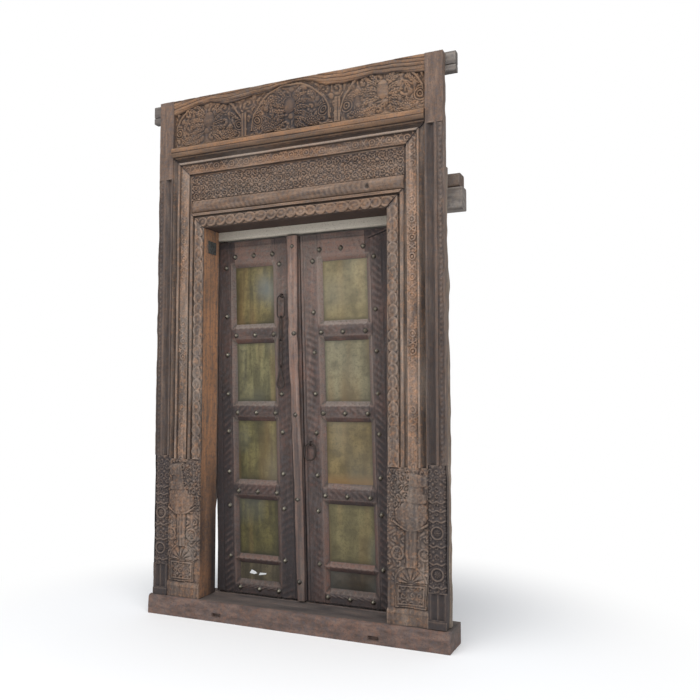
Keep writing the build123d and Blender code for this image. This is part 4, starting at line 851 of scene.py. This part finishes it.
def hewn_timber(name, node, axis, material, seed, slot="grey_wood", low_cut=None, outer_cut=None,
                inner_cut=None, shares=((0, 1),), lime=None, grime=0.10):
    """A squared timber inside its node's box. Its section is a rounded square, |cos|^0.22 by |sin|^0.22,
    carried along one axis, with chance hollows that only go inwards. Cuts move its lower edge, or the sides
    away from and next to the doorway, and shares of its height make it of layers, as where it has split."""
    low, high = (np.array(corner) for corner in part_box(node))
    others = [k for k in range(3) if k != axis]
    rows = max(24, int((high[axis] - low[axis]) / 0.012))
    along = np.linspace(low[axis] + 0.001, high[axis] - 0.001, rows)[:, None]
    around = 56
    angle = np.linspace(0, 2 * math.pi, around, endpoint=False)[None] + 0.02
    shape = [np.sign(wave(angle)) * np.abs(wave(angle)) ** 0.22 for wave in (np.cos, np.sin)]
    rings = np.empty((len(shares), rows, around, 3))
    rings[..., axis] = along
    cuts = {(2, 0): low_cut, (0, 0): inner_cut, (0, 1): outer_cut}
    if low[0] + high[0] < 0:
        cuts = {(2, 0): low_cut, (0, 0): outer_cut, (0, 1): inner_cut}
    for layer, (bottom_share, top_share) in enumerate(shares):
        inward = 1 - 0.006 * (1 + drift(along * 9, angle * 2, seed + 7 * layer))
        inward = inward - 0.004 * blots(along * 30, angle * 4, seed + 1)
        for k, unit in zip(others, shape):
            bottom = low[k] + (cuts[k, 0](along) if cuts.get((k, 0)) else 0)
            top = high[k] - (cuts[k, 1](along) if cuts.get((k, 1)) else 0)
            if k == 2:
                bottom, top = bottom + bottom_share * (top - bottom), bottom + top_share * (top - bottom)
            rings[layer, ..., k] = (top + bottom) / 2 + (top - bottom) / 2 * unit * inward
    worn = np.clip(0.15 + 0.4 * drift(along * 8, angle * 2, seed + 2), 0, 1)
    washed = lime(along) * (rings[0, ..., 1] < (low[1] + high[1]) / 2) if lime else worn * 0
    stain = np.clip(grime + 0.5 * drift(along * 5, angle * 2, seed + 3), 0, 0.6) * (washed == 0)
    closed_piece(name, rings, "frame", slot, material, [node], sharp=50, bleach=worn[None],
                 stain=stain[None], lime=washed[None])


horn_height = 0.099
split_batten = ((0, 0.34), (0.36, 1))
hacked_height, hacked_depth = 0.520, 0.060
waney_heights = (0.0, 0.6, 1.1, 1.25, 1.35, 1.5, 1.6, 1.75, 2.0, 2.4)
waney_cuts = (0.002, 0.004, 0.002, 0.008, 0.007, 0.003, 0.010, 0.012, 0.006, 0.004)
rear_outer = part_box("rear_post_right")[1].x
horn_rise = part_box("rear_lintel")[1].z - horn_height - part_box("rear_lintel")[0].z
hewn_timber("grey_rear_lintel", "rear_lintel", 0, grey_wood, 171, grime=0,
            low_cut=lambda x: horn_rise * (x > rear_outer),
            lime=lambda x: 0.85 * (np.abs(x) < half_opening))
hewn_timber("rear_cap", "rear_lintel_cap", 0, lintel_wood, 174, "frame_wood", grime=0.40)
hewn_timber("head_batten_plank", "head_batten", 0, grey_wood, 177, shares=split_batten, grime=0.65)
hewn_timber("rear_sill_timber", "rear_sill", 0, sill_wood, 180, "frame_wood")


def waney_edge(z):
    """How far the bark side of a plank falls short of straight: straight runs between places up the plank,
    and a chance ripple."""
    return np.interp(z, waney_heights, waney_cuts) + 0.002 * (1 + drift(z * 25, z * 0, 189))


def hacked_foot(z):
    """The left rear post is hacked away beside the leaf: deepest at the foot, and none from a height up,
    with a quarter of an ellipse between them."""
    share = np.clip((z - z_door) / hacked_height, 0, 1)
    return hacked_depth * np.sqrt(1 - share ** 2)


for name, seed in (("left", 183), ("right", 186)):
    hewn_timber(f"raw_plank_{name}", f"backing_plank_{name}", 2, raw_wood, seed, outer_cut=waney_edge)
    hewn_timber(f"rear_post_timber_{name}", f"rear_post_{name}", 2, post_wood, seed + 400, "frame_wood",
                inner_cut=hacked_foot if name == "left" else None)

# Leaves: stiles and rails of dark hardwood, tenoned together, with wide bevels round five panels each.
# Shallow S-shaped lobes are carved along them, almost worn away in places. The wood is dark in blotches
# and darker towards the bottom, with a painted shadow along the top, painted shade on bevels that face
# down and a painted highlight on bevels that face up.
leaf_low, leaf_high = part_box("meeting_stile_right")
sheet_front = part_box("sheet_right_5")[0].y
leaf_front, leaf_back = leaf_low.y, leaf_high.y
leaf_middle = (leaf_low.z + leaf_high.z) / 2
leaf_height = leaf_high.z - leaf_low.z
seam_lean = 0.050
bevel_width = 0.024
bevel_depth = sheet_front - leaf_front
# Each leaf has its side, how far from the seam its panels start, and how wide they are.
leaf_sizes = {"left": (-1, 0.155, 0.205), "right": (1, 0.112, 0.218)}
seam_gap, hinge_edge = 0.0025, 0.4695
foot_trim, trim_height = 0.0085, 0.480
groove = 0.008
panel_spans = []
for number in range(1, 6):
    sheet_low, sheet_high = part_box(f"sheet_right_{number}")
    panel_spans.append((sheet_low.z + groove, sheet_high.z - groove))
rail_spans = list(zip([leaf_low.z] + [top for bottom, top in panel_spans],
                      [bottom for bottom, top in panel_spans] + [leaf_high.z]))
lobe_height, lobe_pitch = 0.0036, 0.033
lobe_starts = {"left": 0.062, "right": 0.020}
hinge_lobe_middle, hinge_lobe_half = 0.030, 0.026
stile_step, rail_step = 0.0036, 0.0034
crack_height, crack_from = 1.745, 0.345
top_shadow_height = 0.034
leaf_tones = {"left": (tone(72, 62, 58), tone(106, 92, 86), tone(38, 33, 31), tone(110, 71, 58)),
              "right": (tone(82, 72, 68), tone(116, 103, 97), tone(43, 37, 35), tone(117, 76, 62))}
plain_shade, rail_shades = (0.12, 0), {1: (0, 0.7), 5: (-0.26, 0.5)}
chain_span = (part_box("hasp")[0].z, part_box("chain_staple")[1].z)
leaf_woods = {name: [weathered_wood(f"{name} leaf {way} wood", *tones, grain) for way, grain in
                     (("upright", along_z), ("level", along_x))] for name, tones in leaf_tones.items()}


def seam(z):
    """X of the seam between the leaves, which leans over the leaves' height."""
    return seam_lean * (leaf_middle - z) / leaf_height


def lobes(across, along):
    """S-shaped lobes like a flat rope: the cosine of the way along, shifted by a sine across."""
    wave = 0.5 + 0.5 * np.cos(2 * math.pi * (along + 0.42 * np.sin(across * math.pi / 2)))
    return wave * np.sqrt(ridge(across, 1))


def bevels(near, width, p, z):
    """Depth of the bevels: full at a panel's edge and none a bevel's width away. The way off a panel is the
    larger of the ways off its sides, which makes mitred corners. Below a panel the edge is scalloped."""
    depth = 0
    scallop = 0.005 * np.abs(np.sin(math.pi * p / 0.030))
    for bottom, top in panel_spans:
        under = bottom - z
        off = np.maximum(np.maximum(near - p, p - near - width), np.maximum(under, z - top))
        reach = bevel_width + np.where(under >= off, scallop - 0.003, 0)
        depth = np.maximum(depth, np.clip(1 - off / reach, 0, 1))
    return depth * bevel_depth


def leaf_board(name, leaf, node, p, z, band, upright, seed, dark, reddened=0):
    """A stile or rail: the grid runs out from the seam and up; bevels, carved lobes along the band's
    middle and edges that dip at the joints give its depth."""
    side, near, width = leaf_sizes[leaf]
    p, z = np.broadcast_arrays(p, z)
    slope = bevels(near, width, p, z)
    flat = slope < 0.001
    middle, half = band
    over, along = (p, z) if upright else (z, p)
    across = (over - middle) / half
    wear = np.clip(0.62 + 0.6 * drift(p * 9 + 3 * side, z * 4, seed), 0.12, 1)
    wear = wear * (1 - 0.55 * (side < 0) * np.clip((z - 0.9) / 0.5, 0, 1))
    hand = 0.25 * drift(p * 12, z * 12, seed + 1)
    lobed = lobe_height * wear * lobes(np.clip(across, -1, 1), along / lobe_pitch + hand) * flat
    frame_line = 0.0018 * ridge(np.abs(across) - 1.08, 0.07) * flat
    joint = np.minimum(np.minimum(p - p.min(1)[:, None], p.max(1)[:, None] - p),
                       np.minimum(z - z.min(), z.max() - z))
    dip = 0.0016 * np.clip(1 - joint / 0.0035, 0, 1)
    crack = 0.006 * ridge(z - crack_height - 0.30 * (p - 0.37), 0.003) * (p > crack_from)
    crack = crack * (side > 0) * upright
    y = leaf_front + 0.0006 + slope - lobed + frame_line + dip + crack
    y = y + 0.0008 * drift(p * 22, z * 7, seed + 2) + 0.0005 * drift(p * 160, z * 80, seed + 3)
    # Darker towards the bottom.
    low_part = np.clip((1.15 - z) / 0.8, 0, 1)
    high_part = np.clip((z - 1.25) / 0.4, 0, 1)
    # Painted shadow along the top of the leaf, under the lintel.
    top_shadow = np.clip((z - leaf_high.z + top_shadow_height) / 0.008, 0, 1)
    shade = dark + 0.45 * blots(p * 12, z * 6, seed + 4) + 0.5 * low_part + 0.55 * top_shadow
    shade = shade + 0.35 * low_part * (side < 0) * (p < near)
    # A darker strip beside the astragal's edge, over the span of the chain.
    beside_astragal = np.exp(-((p - 0.076) / 0.010) ** 2) * (side < 0) * (z > chain_span[0]) * (z < chain_span[1])
    shade = shade + 0.6 * beside_astragal * upright
    pale_share = high_part * (dark < 0.2)
    red = 0.12 + reddened + 0.4 * blots(p * 10, z * 8, seed + 5) + 0.30 * pale_share
    pale = 0.06 + 0.22 * pale_share
    if upright:
        pale = pale + np.where(flat, 0, 0.30)
        red = red + np.where(flat, 0, 0.35)
        shade = np.where(flat, shade, shade * 0.4)
    else:
        # Bevels that face up get a painted highlight, pale and less stained; bevels that face down get
        # painted shade and a red tone.
        faces_down = ~flat & (z < middle)
        faces_up = ~flat & (z >= middle)
        pale = pale + np.where(faces_up, 0.45, 0)
        red = red + np.where(faces_down, 0.60, 0)
        shade = np.where(faces_up, shade * 0.3, shade + np.where(faces_down, 0.15, 0))
    carved_board(name, seam(z) + side * p, y, z, leaf_back, f"leaf_{leaf}", "leaf_wood",
                 leaf_woods[leaf][0 if upright else 1], [node], stain=np.clip(shade, 0, 0.85),
                 warm=np.clip(red, 0, 0.8), bleach=pale * np.clip(1 - 0.6 * low_part, 0, 1))


for leaf, seed in (("left", 200), ("right", 300)):
    side, near, width = leaf_sizes[leaf]
    far = near + width
    rows = np.linspace(leaf_low.z, leaf_high.z, 470)[:, None]
    meeting = np.linspace(seam_gap, near, math.ceil(near / stile_step))[None]
    lobe_near, lobe_far = lobe_starts[leaf], near - bevel_width
    leaf_board(f"meeting_board_{leaf}", leaf, f"meeting_stile_{leaf}", meeting, rows,
               ((lobe_near + lobe_far) / 2, (lobe_far - lobe_near) / 2), True, seed, 0.05)
    rim = hinge_edge - side * seam(rows)
    if side < 0:
        rim = rim - foot_trim * np.clip(1.8 * (1 - (rows - leaf_low.z) / trim_height), 0, 1)
    shares = np.linspace(0, 1, 36)[None]
    leaf_board(f"hinge_board_{leaf}", leaf, f"hinge_stile_{leaf}", far + shares * (rim - far), rows,
               (far + bevel_width + hinge_lobe_middle, hinge_lobe_half), True, seed + 10, 0.45)
    for number, (bottom, top) in enumerate(rail_spans):
        level = np.linspace(bottom, top, max(12, math.ceil((top - bottom) / rail_step)))[:, None]
        wide = np.linspace(near, far, math.ceil(width / rail_step))[None]
        lobe_half = max(0.006, (top - bottom) / 2 - bevel_width - 0.004)
        leaf_board(f"rail_board_{leaf}_{number + 1}", leaf, f"rail_{leaf}_{number + 1}", wide, level,
                   ((bottom + top) / 2, lobe_half), False, seed + 20 + number * 6,
                   *rail_shades.get(number, plain_shade))

# Pivots: round wooden pins, turned on the ends of the hinge stiles. They carry the leaves and run in
# sockets in the rear sill and the rear lintel.
pivot_radius, pivot_length, pivot_root = 0.0115, 0.033, 0.01
pivot_place = (0.447, 0.1725)


def pivot_pins(leaf, side):
    """Two short round pins above and below a leaf: circles carried up, drawn in a little at their ends."""
    turn = np.linspace(0, 2 * math.pi, 24, endpoint=False)
    share = np.linspace(0, 1, 8)[:, None]
    radius = pivot_radius * (1 - 0.25 * np.abs(2 * share - 1) ** 6)
    pins = []
    for bottom, top in ((leaf_low.z - pivot_length, leaf_low.z + pivot_root),
                        (leaf_high.z - pivot_root, leaf_high.z + pivot_length)):
        ring = [side * pivot_place[0] + radius * np.cos(turn), pivot_place[1] + radius * np.sin(turn),
                bottom + share * (top - bottom) + turn * 0]
        pins.append(np.stack(np.broadcast_arrays(*ring), -1))
    closed_piece(f"pivots_{leaf}", np.array(pins), f"leaf_{leaf}", "leaf_wood", leaf_woods[leaf][0])


pivot_pins("left", -1)
pivot_pins("right", 1)

# Panels: thin brass sheets held in grooves of the stiles and rails, dented, streaked with green and brown
# tarnish. The short sheet at the foot of the left leaf is torn through.
sheet_ease, sheet_thickness, sheet_belly = 0.001, 0.0019, 0.0024


def tarnished_brass(name, brass, tarnish, grime, streaks):
    """Old sheet brass: upright streaks of noise mix the metal with tarnish, broad and fine noise add grime,
    and the marks grime, ochre and bloom turn it dark, brown or blue-grey. The bump is fine pitting."""
    material, tree, shader, place = new_material(name)
    drips = noise(tree, drawn_out(tree, place, (streaks, streaks, streaks * 0.12)), 1.0, 7)
    pits = noise(tree, place, 190.0, 3)
    ochre, bloom = tone(132, 102, 64), tone(98, 102, 100)
    colour = layered(tree, brass, (ranged(tree, drips, 0.42, 0.60, 0.0, 0.9), tarnish),
                     (ranged(tree, noise(tree, place, 14.0, 5), 0.46, 0.66, 0.0, 0.6), grime),
                     (ranged(tree, noise(tree, place, 60.0, 4), 0.48, 0.70, 0.0, 0.45), grime),
                     (ranged(tree, pits, 0.50, 0.72, 0.0, 0.5), grime), (mark(tree, "grime"), grime),
                     (mark(tree, "ochre"), ochre), (mark(tree, "bloom"), bloom))
    feed(tree, shader, {"Base Color": colour, "Metallic": 0.25, "Roughness": 0.60,
                        "Normal": bumped(tree, pits, 0.35, 0.0015)})
    return material


sheet_tones = {"left": ((74, 66, 50), (74, 68, 38), (88, 82, 50), (98, 93, 64), (96, 86, 52)),
               "right": ((57, 47, 34), (99, 91, 62), (111, 96, 63), (113, 106, 83), (133, 121, 89))}
for leaf, seed, streaks, contrast in (("left", 400, 34.0, (1.19, 0.78, 0.55)),
                                      ("right", 450, 16.0, (1.09, 0.89, 0.62))):
    side, near, width = leaf_sizes[leaf]
    for number, (bottom, top) in enumerate(panel_spans, 1):
        shade = np.array(sheet_tones[leaf][number - 1])
        brass, tarnish, dirt_and_shade = (tone(*shade * share) for share in contrast)
        metal = tarnished_brass(f"{leaf} brass {number}", brass, tarnish, dirt_and_shade, streaks)
        if leaf == "left" and number == 1:
            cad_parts["sheet_left_1"].data.materials.clear()
            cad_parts["sheet_left_1"].data.materials.append(metal)
            continue
        held = groove - sheet_ease
        p = np.linspace(near - held, near + width + held, 60)[None]
        z = np.linspace(bottom - held, top + held, 70)[:, None] + p * 0
        p = p + z * 0
        rim = np.minimum(np.minimum(p - near, near + width - p), np.minimum(z - bottom, top - z))
        free = np.clip(rim / 0.03, 0, 1)
        dents = 0.0020 * drift(p * 16, z * 16, seed + number)
        dents = dents + 0.0010 * drift(p * 45, z * 45, seed + 9 + number)
        y = sheet_front + 0.0004 - free * sheet_belly + np.clip(free * dents, -0.003, 0.0018)
        # Darker near the rim and towards the panel's foot.
        grime = np.clip(1 - rim / 0.014, 0, 1) * 0.6 + 0.45 * np.clip((bottom + 0.07 - z) / 0.07, 0, 1)
        across = (p - near) / width
        top_left = leaf == "left" and number == 5
        ochre = (0.6 if top_left else 0.25) * blots(p * 30, z * 3, seed + 20 + number)
        ochre = ochre * np.clip(across * 1.6 - 0.2 if top_left else 1, 0, 1)
        if leaf == "right" and number == 3:
            ochre = ochre + 0.6 * np.clip((bottom + 0.05 - z) / 0.04, 0, 1)
        patch = np.exp(-((across - 0.22) / 0.25) ** 2 - ((z - top + 0.10) / 0.07) ** 2)
        bloom = 0.7 * patch * top_left + 0.25 * blots(p * 12, z * 6, seed + 30 + number)
        carved_board(f"brass_sheet_{leaf}_{number}", seam(z) + side * p, y, z,
                     sheet_front + sheet_thickness, f"leaf_{leaf}", "sheet_brass", metal,
                     [f"sheet_{leaf}_{number}"], grime=np.clip(grime, 0, 0.9), ochre=ochre, bloom=bloom)

# Studs: cast brass nail heads, four-sided and drawn up to a blunt point, driven into the stiles and rails
# of the leaves. The points are rubbed bright, and painted shade darkens the skirt.
stud_radius, stud_height, stud_inset = 0.0122, 0.0125, 0.045
stud_shares = ((0.88, -0.06), (0.82, 0.12), (0.81, 0.12), (1.01, 0.14))
studded_rails, rail_stud_shares = (0, 2, 3, 4, 5), (-0.04, 0.46, 0.97)


def forged_metal(name, bare, rust, metallic, rough):
    """Metal with a crust: noise runs from the bare tone to the crust's and pits it, and the grime mark
    turns it to a dark tone, which round the skirt of a stud or nail is painted shade."""
    material, tree, shader, place = new_material(name)
    crust = noise(tree, place, 90.0, 6)
    dirt_and_shade = tone(34, 29, 26)
    colour = layered(tree, ramped(tree, crust, (0.38, bare), (0.64, rust)), (mark(tree, "grime"), dirt_and_shade))
    feed(tree, shader, {"Base Color": colour, "Metallic": metallic, "Roughness": rough,
                        "Normal": bumped(tree, crust, 0.4, 0.001)})
    return material


stud_metal = forged_metal("stud brass", tone(140, 134, 120), tone(92, 85, 72), 0.4, 0.42)


def stud_heads(places, radius, height, face):
    """Heads on a face, at places given as x and z. The radius falls with the height as a table gives, and
    swells four times round by the cosine of the angle."""
    share = np.array([0, 0.12, 0.20, 0.36, 0.52, 0.70, 0.86, 0.95, 1.0])[:, None]
    size = np.array([1.0, 1.0, 0.84, 0.72, 0.58, 0.43, 0.28, 0.17, 0.05])[:, None]
    angle = np.linspace(0, 2 * math.pi, 20, endpoint=False)[None]
    ring = radius * size * (1 + 0.12 * (1 - share) * np.cos(4 * angle))
    head = np.stack([ring * np.cos(angle), face - share * height + angle * 0, ring * np.sin(angle)], -1)
    shift = np.array([(x, 0, z) for x, z in places])[:, None, None, :]
    # With the heads comes painted shade for each point, darkest at the skirt and gone by 0.8 of the height.
    return head[None] + shift, np.clip(1.45 - share / 0.55, 0, 0.92) + angle * 0


for leaf in ("left", "right"):
    side, near, width = leaf_sizes[leaf]
    places = []
    for (bottom, top), shares in zip(panel_spans[1:], stud_shares):
        for share in shares:
            z = bottom + share * (top - bottom)
            places.append((seam(z) + side * (near + width + stud_inset), z))
            if leaf == "right" or not chain_span[0] < z < chain_span[1]:
                places.append((seam(z) + side * (near - stud_inset), z))
    for number in studded_rails:
        bottom, top = rail_spans[number]
        z = bottom + 0.42 * (top - bottom)
        places.extend((seam(z) + side * (near + share * width), z) for share in rail_stud_shares)
    heads, grime = stud_heads(places, stud_radius, stud_height, leaf_front + 0.001)
    closed_piece(f"brass_studs_{leaf}", heads, f"leaf_{leaf}", "stud_brass", stud_metal, [f"studs_{leaf}"],
                 grime=grime[None])

# Astragal: a batten of bare, pinkish wood with two waney edges. Five iron nails hold it along the edge of
# the left leaf, where it closes the seam.
astragal_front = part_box("astragal")[0].y
astragal_wood = weathered_wood("astragal wood", tone(119, 99, 91), tone(148, 127, 117), tone(72, 58, 53),
                               tone(150, 108, 86), along_z)
astragal_width = 0.062
edge_places = (0, 0.2, 0.4, 0.6, 0.75, 1)
left_shares, right_shares = (0.73, 0.84, 0.86, 1.0, 1.08, 1.02), (0.05, 0.05, 0.06, 0.20, 0.22, 0.06)
nail_places = (0.05, 0.27, 0.5, 0.725, 0.97)
nail_radius, nail_height, nail_sunk = 0.0122, 0.0090, 0.004
rows = np.linspace(leaf_low.z, leaf_high.z, 420)[:, None]
share = (rows - leaf_low.z) / leaf_height
left_edge = np.interp(share, edge_places, left_shares) * astragal_width
right_edge = np.interp(share, edge_places, right_shares) * astragal_width
left_edge = left_edge - 0.004 * blots(rows * 16, rows * 0, 501)
right_edge = right_edge + 0.004 * blots(rows * 13, rows * 0, 502)
across = np.linspace(0, 1, 24)[None]
p = right_edge + across * (left_edge - right_edge)
round_edge = 0.010 * (np.abs(2 * across - 1) ** 5)
y = astragal_front + 0.0005 + round_edge + 0.0016 * (1 + drift(rows * 5, across * 4, 503))
y = y + 0.0006 * drift(rows * 9, across * 30, 504)
z = rows + across * 0
# Darker towards the bottom.
lower_darkening = 0.70 * np.clip((1.2 - rows) / 0.6, 0, 1)
carved_board("astragal_batten", seam(z) - p, y, z, leaf_front, "leaf_left", "pink_wood", astragal_wood,
             ["astragal"], stain=np.clip(0.30 * drift(rows * 4, across * 3, 505) + lower_darkening, 0, 0.75),
             warm=np.clip(0.2 + 0.4 * drift(rows * 3, across * 4, 506), 0, 0.7),
             bleach=np.clip(0.1 + 0.3 * drift(rows * 6, across * 5, 507), 0, 0.4))
nail_z = [leaf_low.z + share * leaf_height for share in nail_places]
nails, grime = stud_heads([(seam(z) - astragal_width / 2, z) for z in nail_z], nail_radius, nail_height,
                          astragal_front + nail_sunk)
nail_iron = forged_metal("nail iron", tone(108, 102, 92), tone(60, 54, 48), 0.4, 0.5)
closed_piece("astragal_nail_heads", nails, "leaf_left", "iron", nail_iron, ["astragal_nails"],
             grime=grime[None])

# Chain, hasp and ring: round iron bar, forged into loops on a smith's horn and hung in staples that are
# driven into the stiles. A small iron plate lies on the left reveal.
link_radius, ring_radius, staple_radius = 0.0032, 0.0040, 0.003
staple_play, staple_sunk = 0.0006, 0.004
iron = forged_metal("rusted iron", tone(38, 33, 31), tone(52, 40, 34), 0.3, 0.68)
plate_iron = forged_metal("plate iron", tone(86, 87, 85), tone(58, 58, 56), 0.2, 0.72)


def bar_along(line, across, radius):
    """Round bar carried along a line of points: at each point a circle between the crosswise direction and
    the one square to it and to the line, hammered thinner by chance by up to a tenth."""
    turn = np.linspace(0, 2 * math.pi, 14, endpoint=False)
    ahead = np.gradient(line, axis=0)
    ahead = ahead / np.linalg.norm(ahead, axis=1)[:, None]
    out = np.cross(ahead, across)
    size = radius * (0.95 + 0.05 * drift(np.arange(len(line))[:, None] * 0.25, turn[None] * 1.5, 511))
    circle = np.cos(turn)[None, :, None] * out[:, None] + np.sin(turn)[None, :, None] * np.array(across)
    return line[:, None] + size[..., None] * circle


def link_line(low, high, sideways, radius):
    """The middle line of a link in its box, once round: an oval of two straight runs and two half circles,
    by angle, set across the leaf or, for a link that lies sideways, square to it."""
    angle = np.linspace(0, 2 * math.pi, 96, endpoint=False)
    half = (high.y - low.y if sideways else high.x - low.x) / 2 - radius
    reach = (high.z - low.z) / 2 - radius - half
    run = half * np.cos(angle)
    rise = (low.z + high.z) / 2 + half * np.sin(angle) + reach * np.clip(np.sin(angle) * 3, -1, 1)
    middle_x, middle_y = (low.x + high.x) / 2 + 0 * run, (low.y + high.y) / 2 + 0 * run
    if sideways:
        return np.stack([middle_x, middle_y + run, rise], -1)
    return np.stack([middle_x + run, middle_y, rise], -1)


for node, sideways, radius in (("chain_link_upper", False, link_radius),
                               ("chain_link_cross", True, link_radius),
                               ("chain_link_long", False, link_radius),
                               ("pull_ring", False, ring_radius)):
    line = link_line(*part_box(node), sideways, radius)
    wrapped = np.concatenate([line[-2:], line, line[:2]])
    rings = bar_along(wrapped, (1, 0, 0) if sideways else (0, 1, 0), radius)[2:-2]
    closed_piece(f"forged_{node}", rings, node, "iron", iron, [node], joined=True)
for node, body, held in (("chain_staple", "leaf_left", link_radius),
                         ("ring_staple", "leaf_right", ring_radius)):
    low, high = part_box(node)
    loop = held + staple_play + staple_radius
    front = low.y + staple_radius + loop
    turn = np.linspace(math.pi / 2, 3 * math.pi / 2, 16)
    legs = np.array([leaf_front + staple_sunk, (leaf_front + front) / 2])
    line_y = np.concatenate([legs, front + loop * np.cos(turn), legs[::-1]])
    line_z = (low.z + high.z) / 2 + np.concatenate([[loop, loop], loop * np.sin(turn), [-loop, -loop]])
    line = np.stack([line_y * 0 + (low.x + high.x) / 2, line_y, line_z], -1)
    closed_piece(f"forged_{node}", bar_along(line, (1, 0, 0), staple_radius), body, "iron", iron, [node])
for node, metal in (("hasp", iron), ("reveal_plate", plate_iron)):
    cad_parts[node].data.materials.clear()
    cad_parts[node].data.materials.append(metal)

# Studio: a pale floor, white all round for the camera, broad soft lights above, and a camera at the
# photograph's place.
camera_place = (1.5899, -2.9437, 1.0149)
camera_yaw, camera_pitch = math.radians(23.776), math.radians(3.684)
camera_data = bpy.data.cameras.new("camera")
camera_data.lens = 38.44
camera_data.sensor_width = 36.0
camera_data.shift_x = 0.0026
camera = bpy.data.objects.new("camera", camera_data)
camera.location = camera_place
camera.rotation_euler = (math.pi / 2 + camera_pitch, 0, camera_yaw)
bpy.context.scene.collection.objects.link(camera)
bpy.context.scene.camera = camera


def seen_by_camera(tree):
    """1 for what the camera sees, straight or through mirrors and glass, and 0 for light on its way."""
    path = add_node(tree, "LightPath", {})
    seen = path.outputs["Is Camera Ray"]
    for way in ("Is Glossy Ray", "Is Transmission Ray"):
        seen = combined(tree, "MAXIMUM", seen, path.outputs[way])
    return seen


def shown(tree, share, lit, white, output):
    """Shows the white shader by a share and the lit one by the rest."""
    mix = add_node(tree, "MixShader", {0: share, 1: lit.outputs[0], 2: white.outputs[0]})
    feed(tree, tree.nodes[output], {"Surface": mix.outputs[0]})


world = bpy.data.worlds.new("studio")
bpy.context.scene.world = world
world.use_nodes = True
sky_tree = world.node_tree
soft = sky_tree.nodes["Background"]
feed(sky_tree, soft, {"Color": (0.92, 0.95, 1.0, 1), "Strength": 0.5})
blank = add_node(sky_tree, "Background", {"Color": (1, 1, 1, 1), "Strength": 1.0})
shown(sky_tree, seen_by_camera(sky_tree), soft, blank, "World Output")

floor_half = 6.0
fade_from, fade_to = 0.85, 1.9
floor_corners = [(x * floor_half, y * floor_half, 0) for x, y in ((-1, -1), (1, -1), (1, 1), (-1, 1))]
floor_mesh = bpy.data.meshes.new("floor")
floor_mesh.from_pydata(floor_corners, [], [(0, 1, 2, 3)])
floor = bpy.data.objects.new("floor", floor_mesh)
bpy.context.scene.collection.objects.link(floor)
floor_paint, floor_tree, paint, floor_place = new_material("floor paint")
feed(floor_tree, paint, {"Base Color": (0.92, 0.92, 0.92, 1), "Roughness": 0.9})
white = add_node(floor_tree, "Emission", {})
reach = add_node(floor_tree, "VectorMath", {0: floor_place}, operation="LENGTH").outputs["Value"]
fade = add_node(floor_tree, "MapRange", {"Value": reach, "From Min": fade_from, "From Max": fade_to},
                interpolation_type="SMOOTHSTEP").outputs["Result"]
shown(floor_tree, combined(floor_tree, "MULTIPLY", fade, seen_by_camera(floor_tree)), paint, white,
      "Material Output")
floor_mesh.materials.append(floor_paint)

for name, place, aim, size, power in (("sky", (0.4, -2.4, 4.6), (0, 0, 1.2), 4.0, 170),
                                      ("side", (3.4, -3.0, 2.2), (0, 0, 1.1), 2.5, 52),
                                      ("fill", (-3.2, -2.6, 1.8), (0, 0, 1.0), 2.5, 32)):
    lamp_data = bpy.data.lights.new(name, "AREA")
    lamp_data.size = size
    lamp_data.energy = power
    lamp = bpy.data.objects.new(name, lamp_data)
    lamp.location = place
    towards = np.array(aim) - np.array(place)
    tilt = math.atan2(math.hypot(towards[0], towards[1]), -towards[2])
    lamp.rotation_euler = (tilt, 0, math.atan2(towards[1], towards[0]) - math.pi / 2)
    bpy.context.scene.collection.objects.link(lamp)

bpy.context.scene.view_settings.view_transform = "Standard"
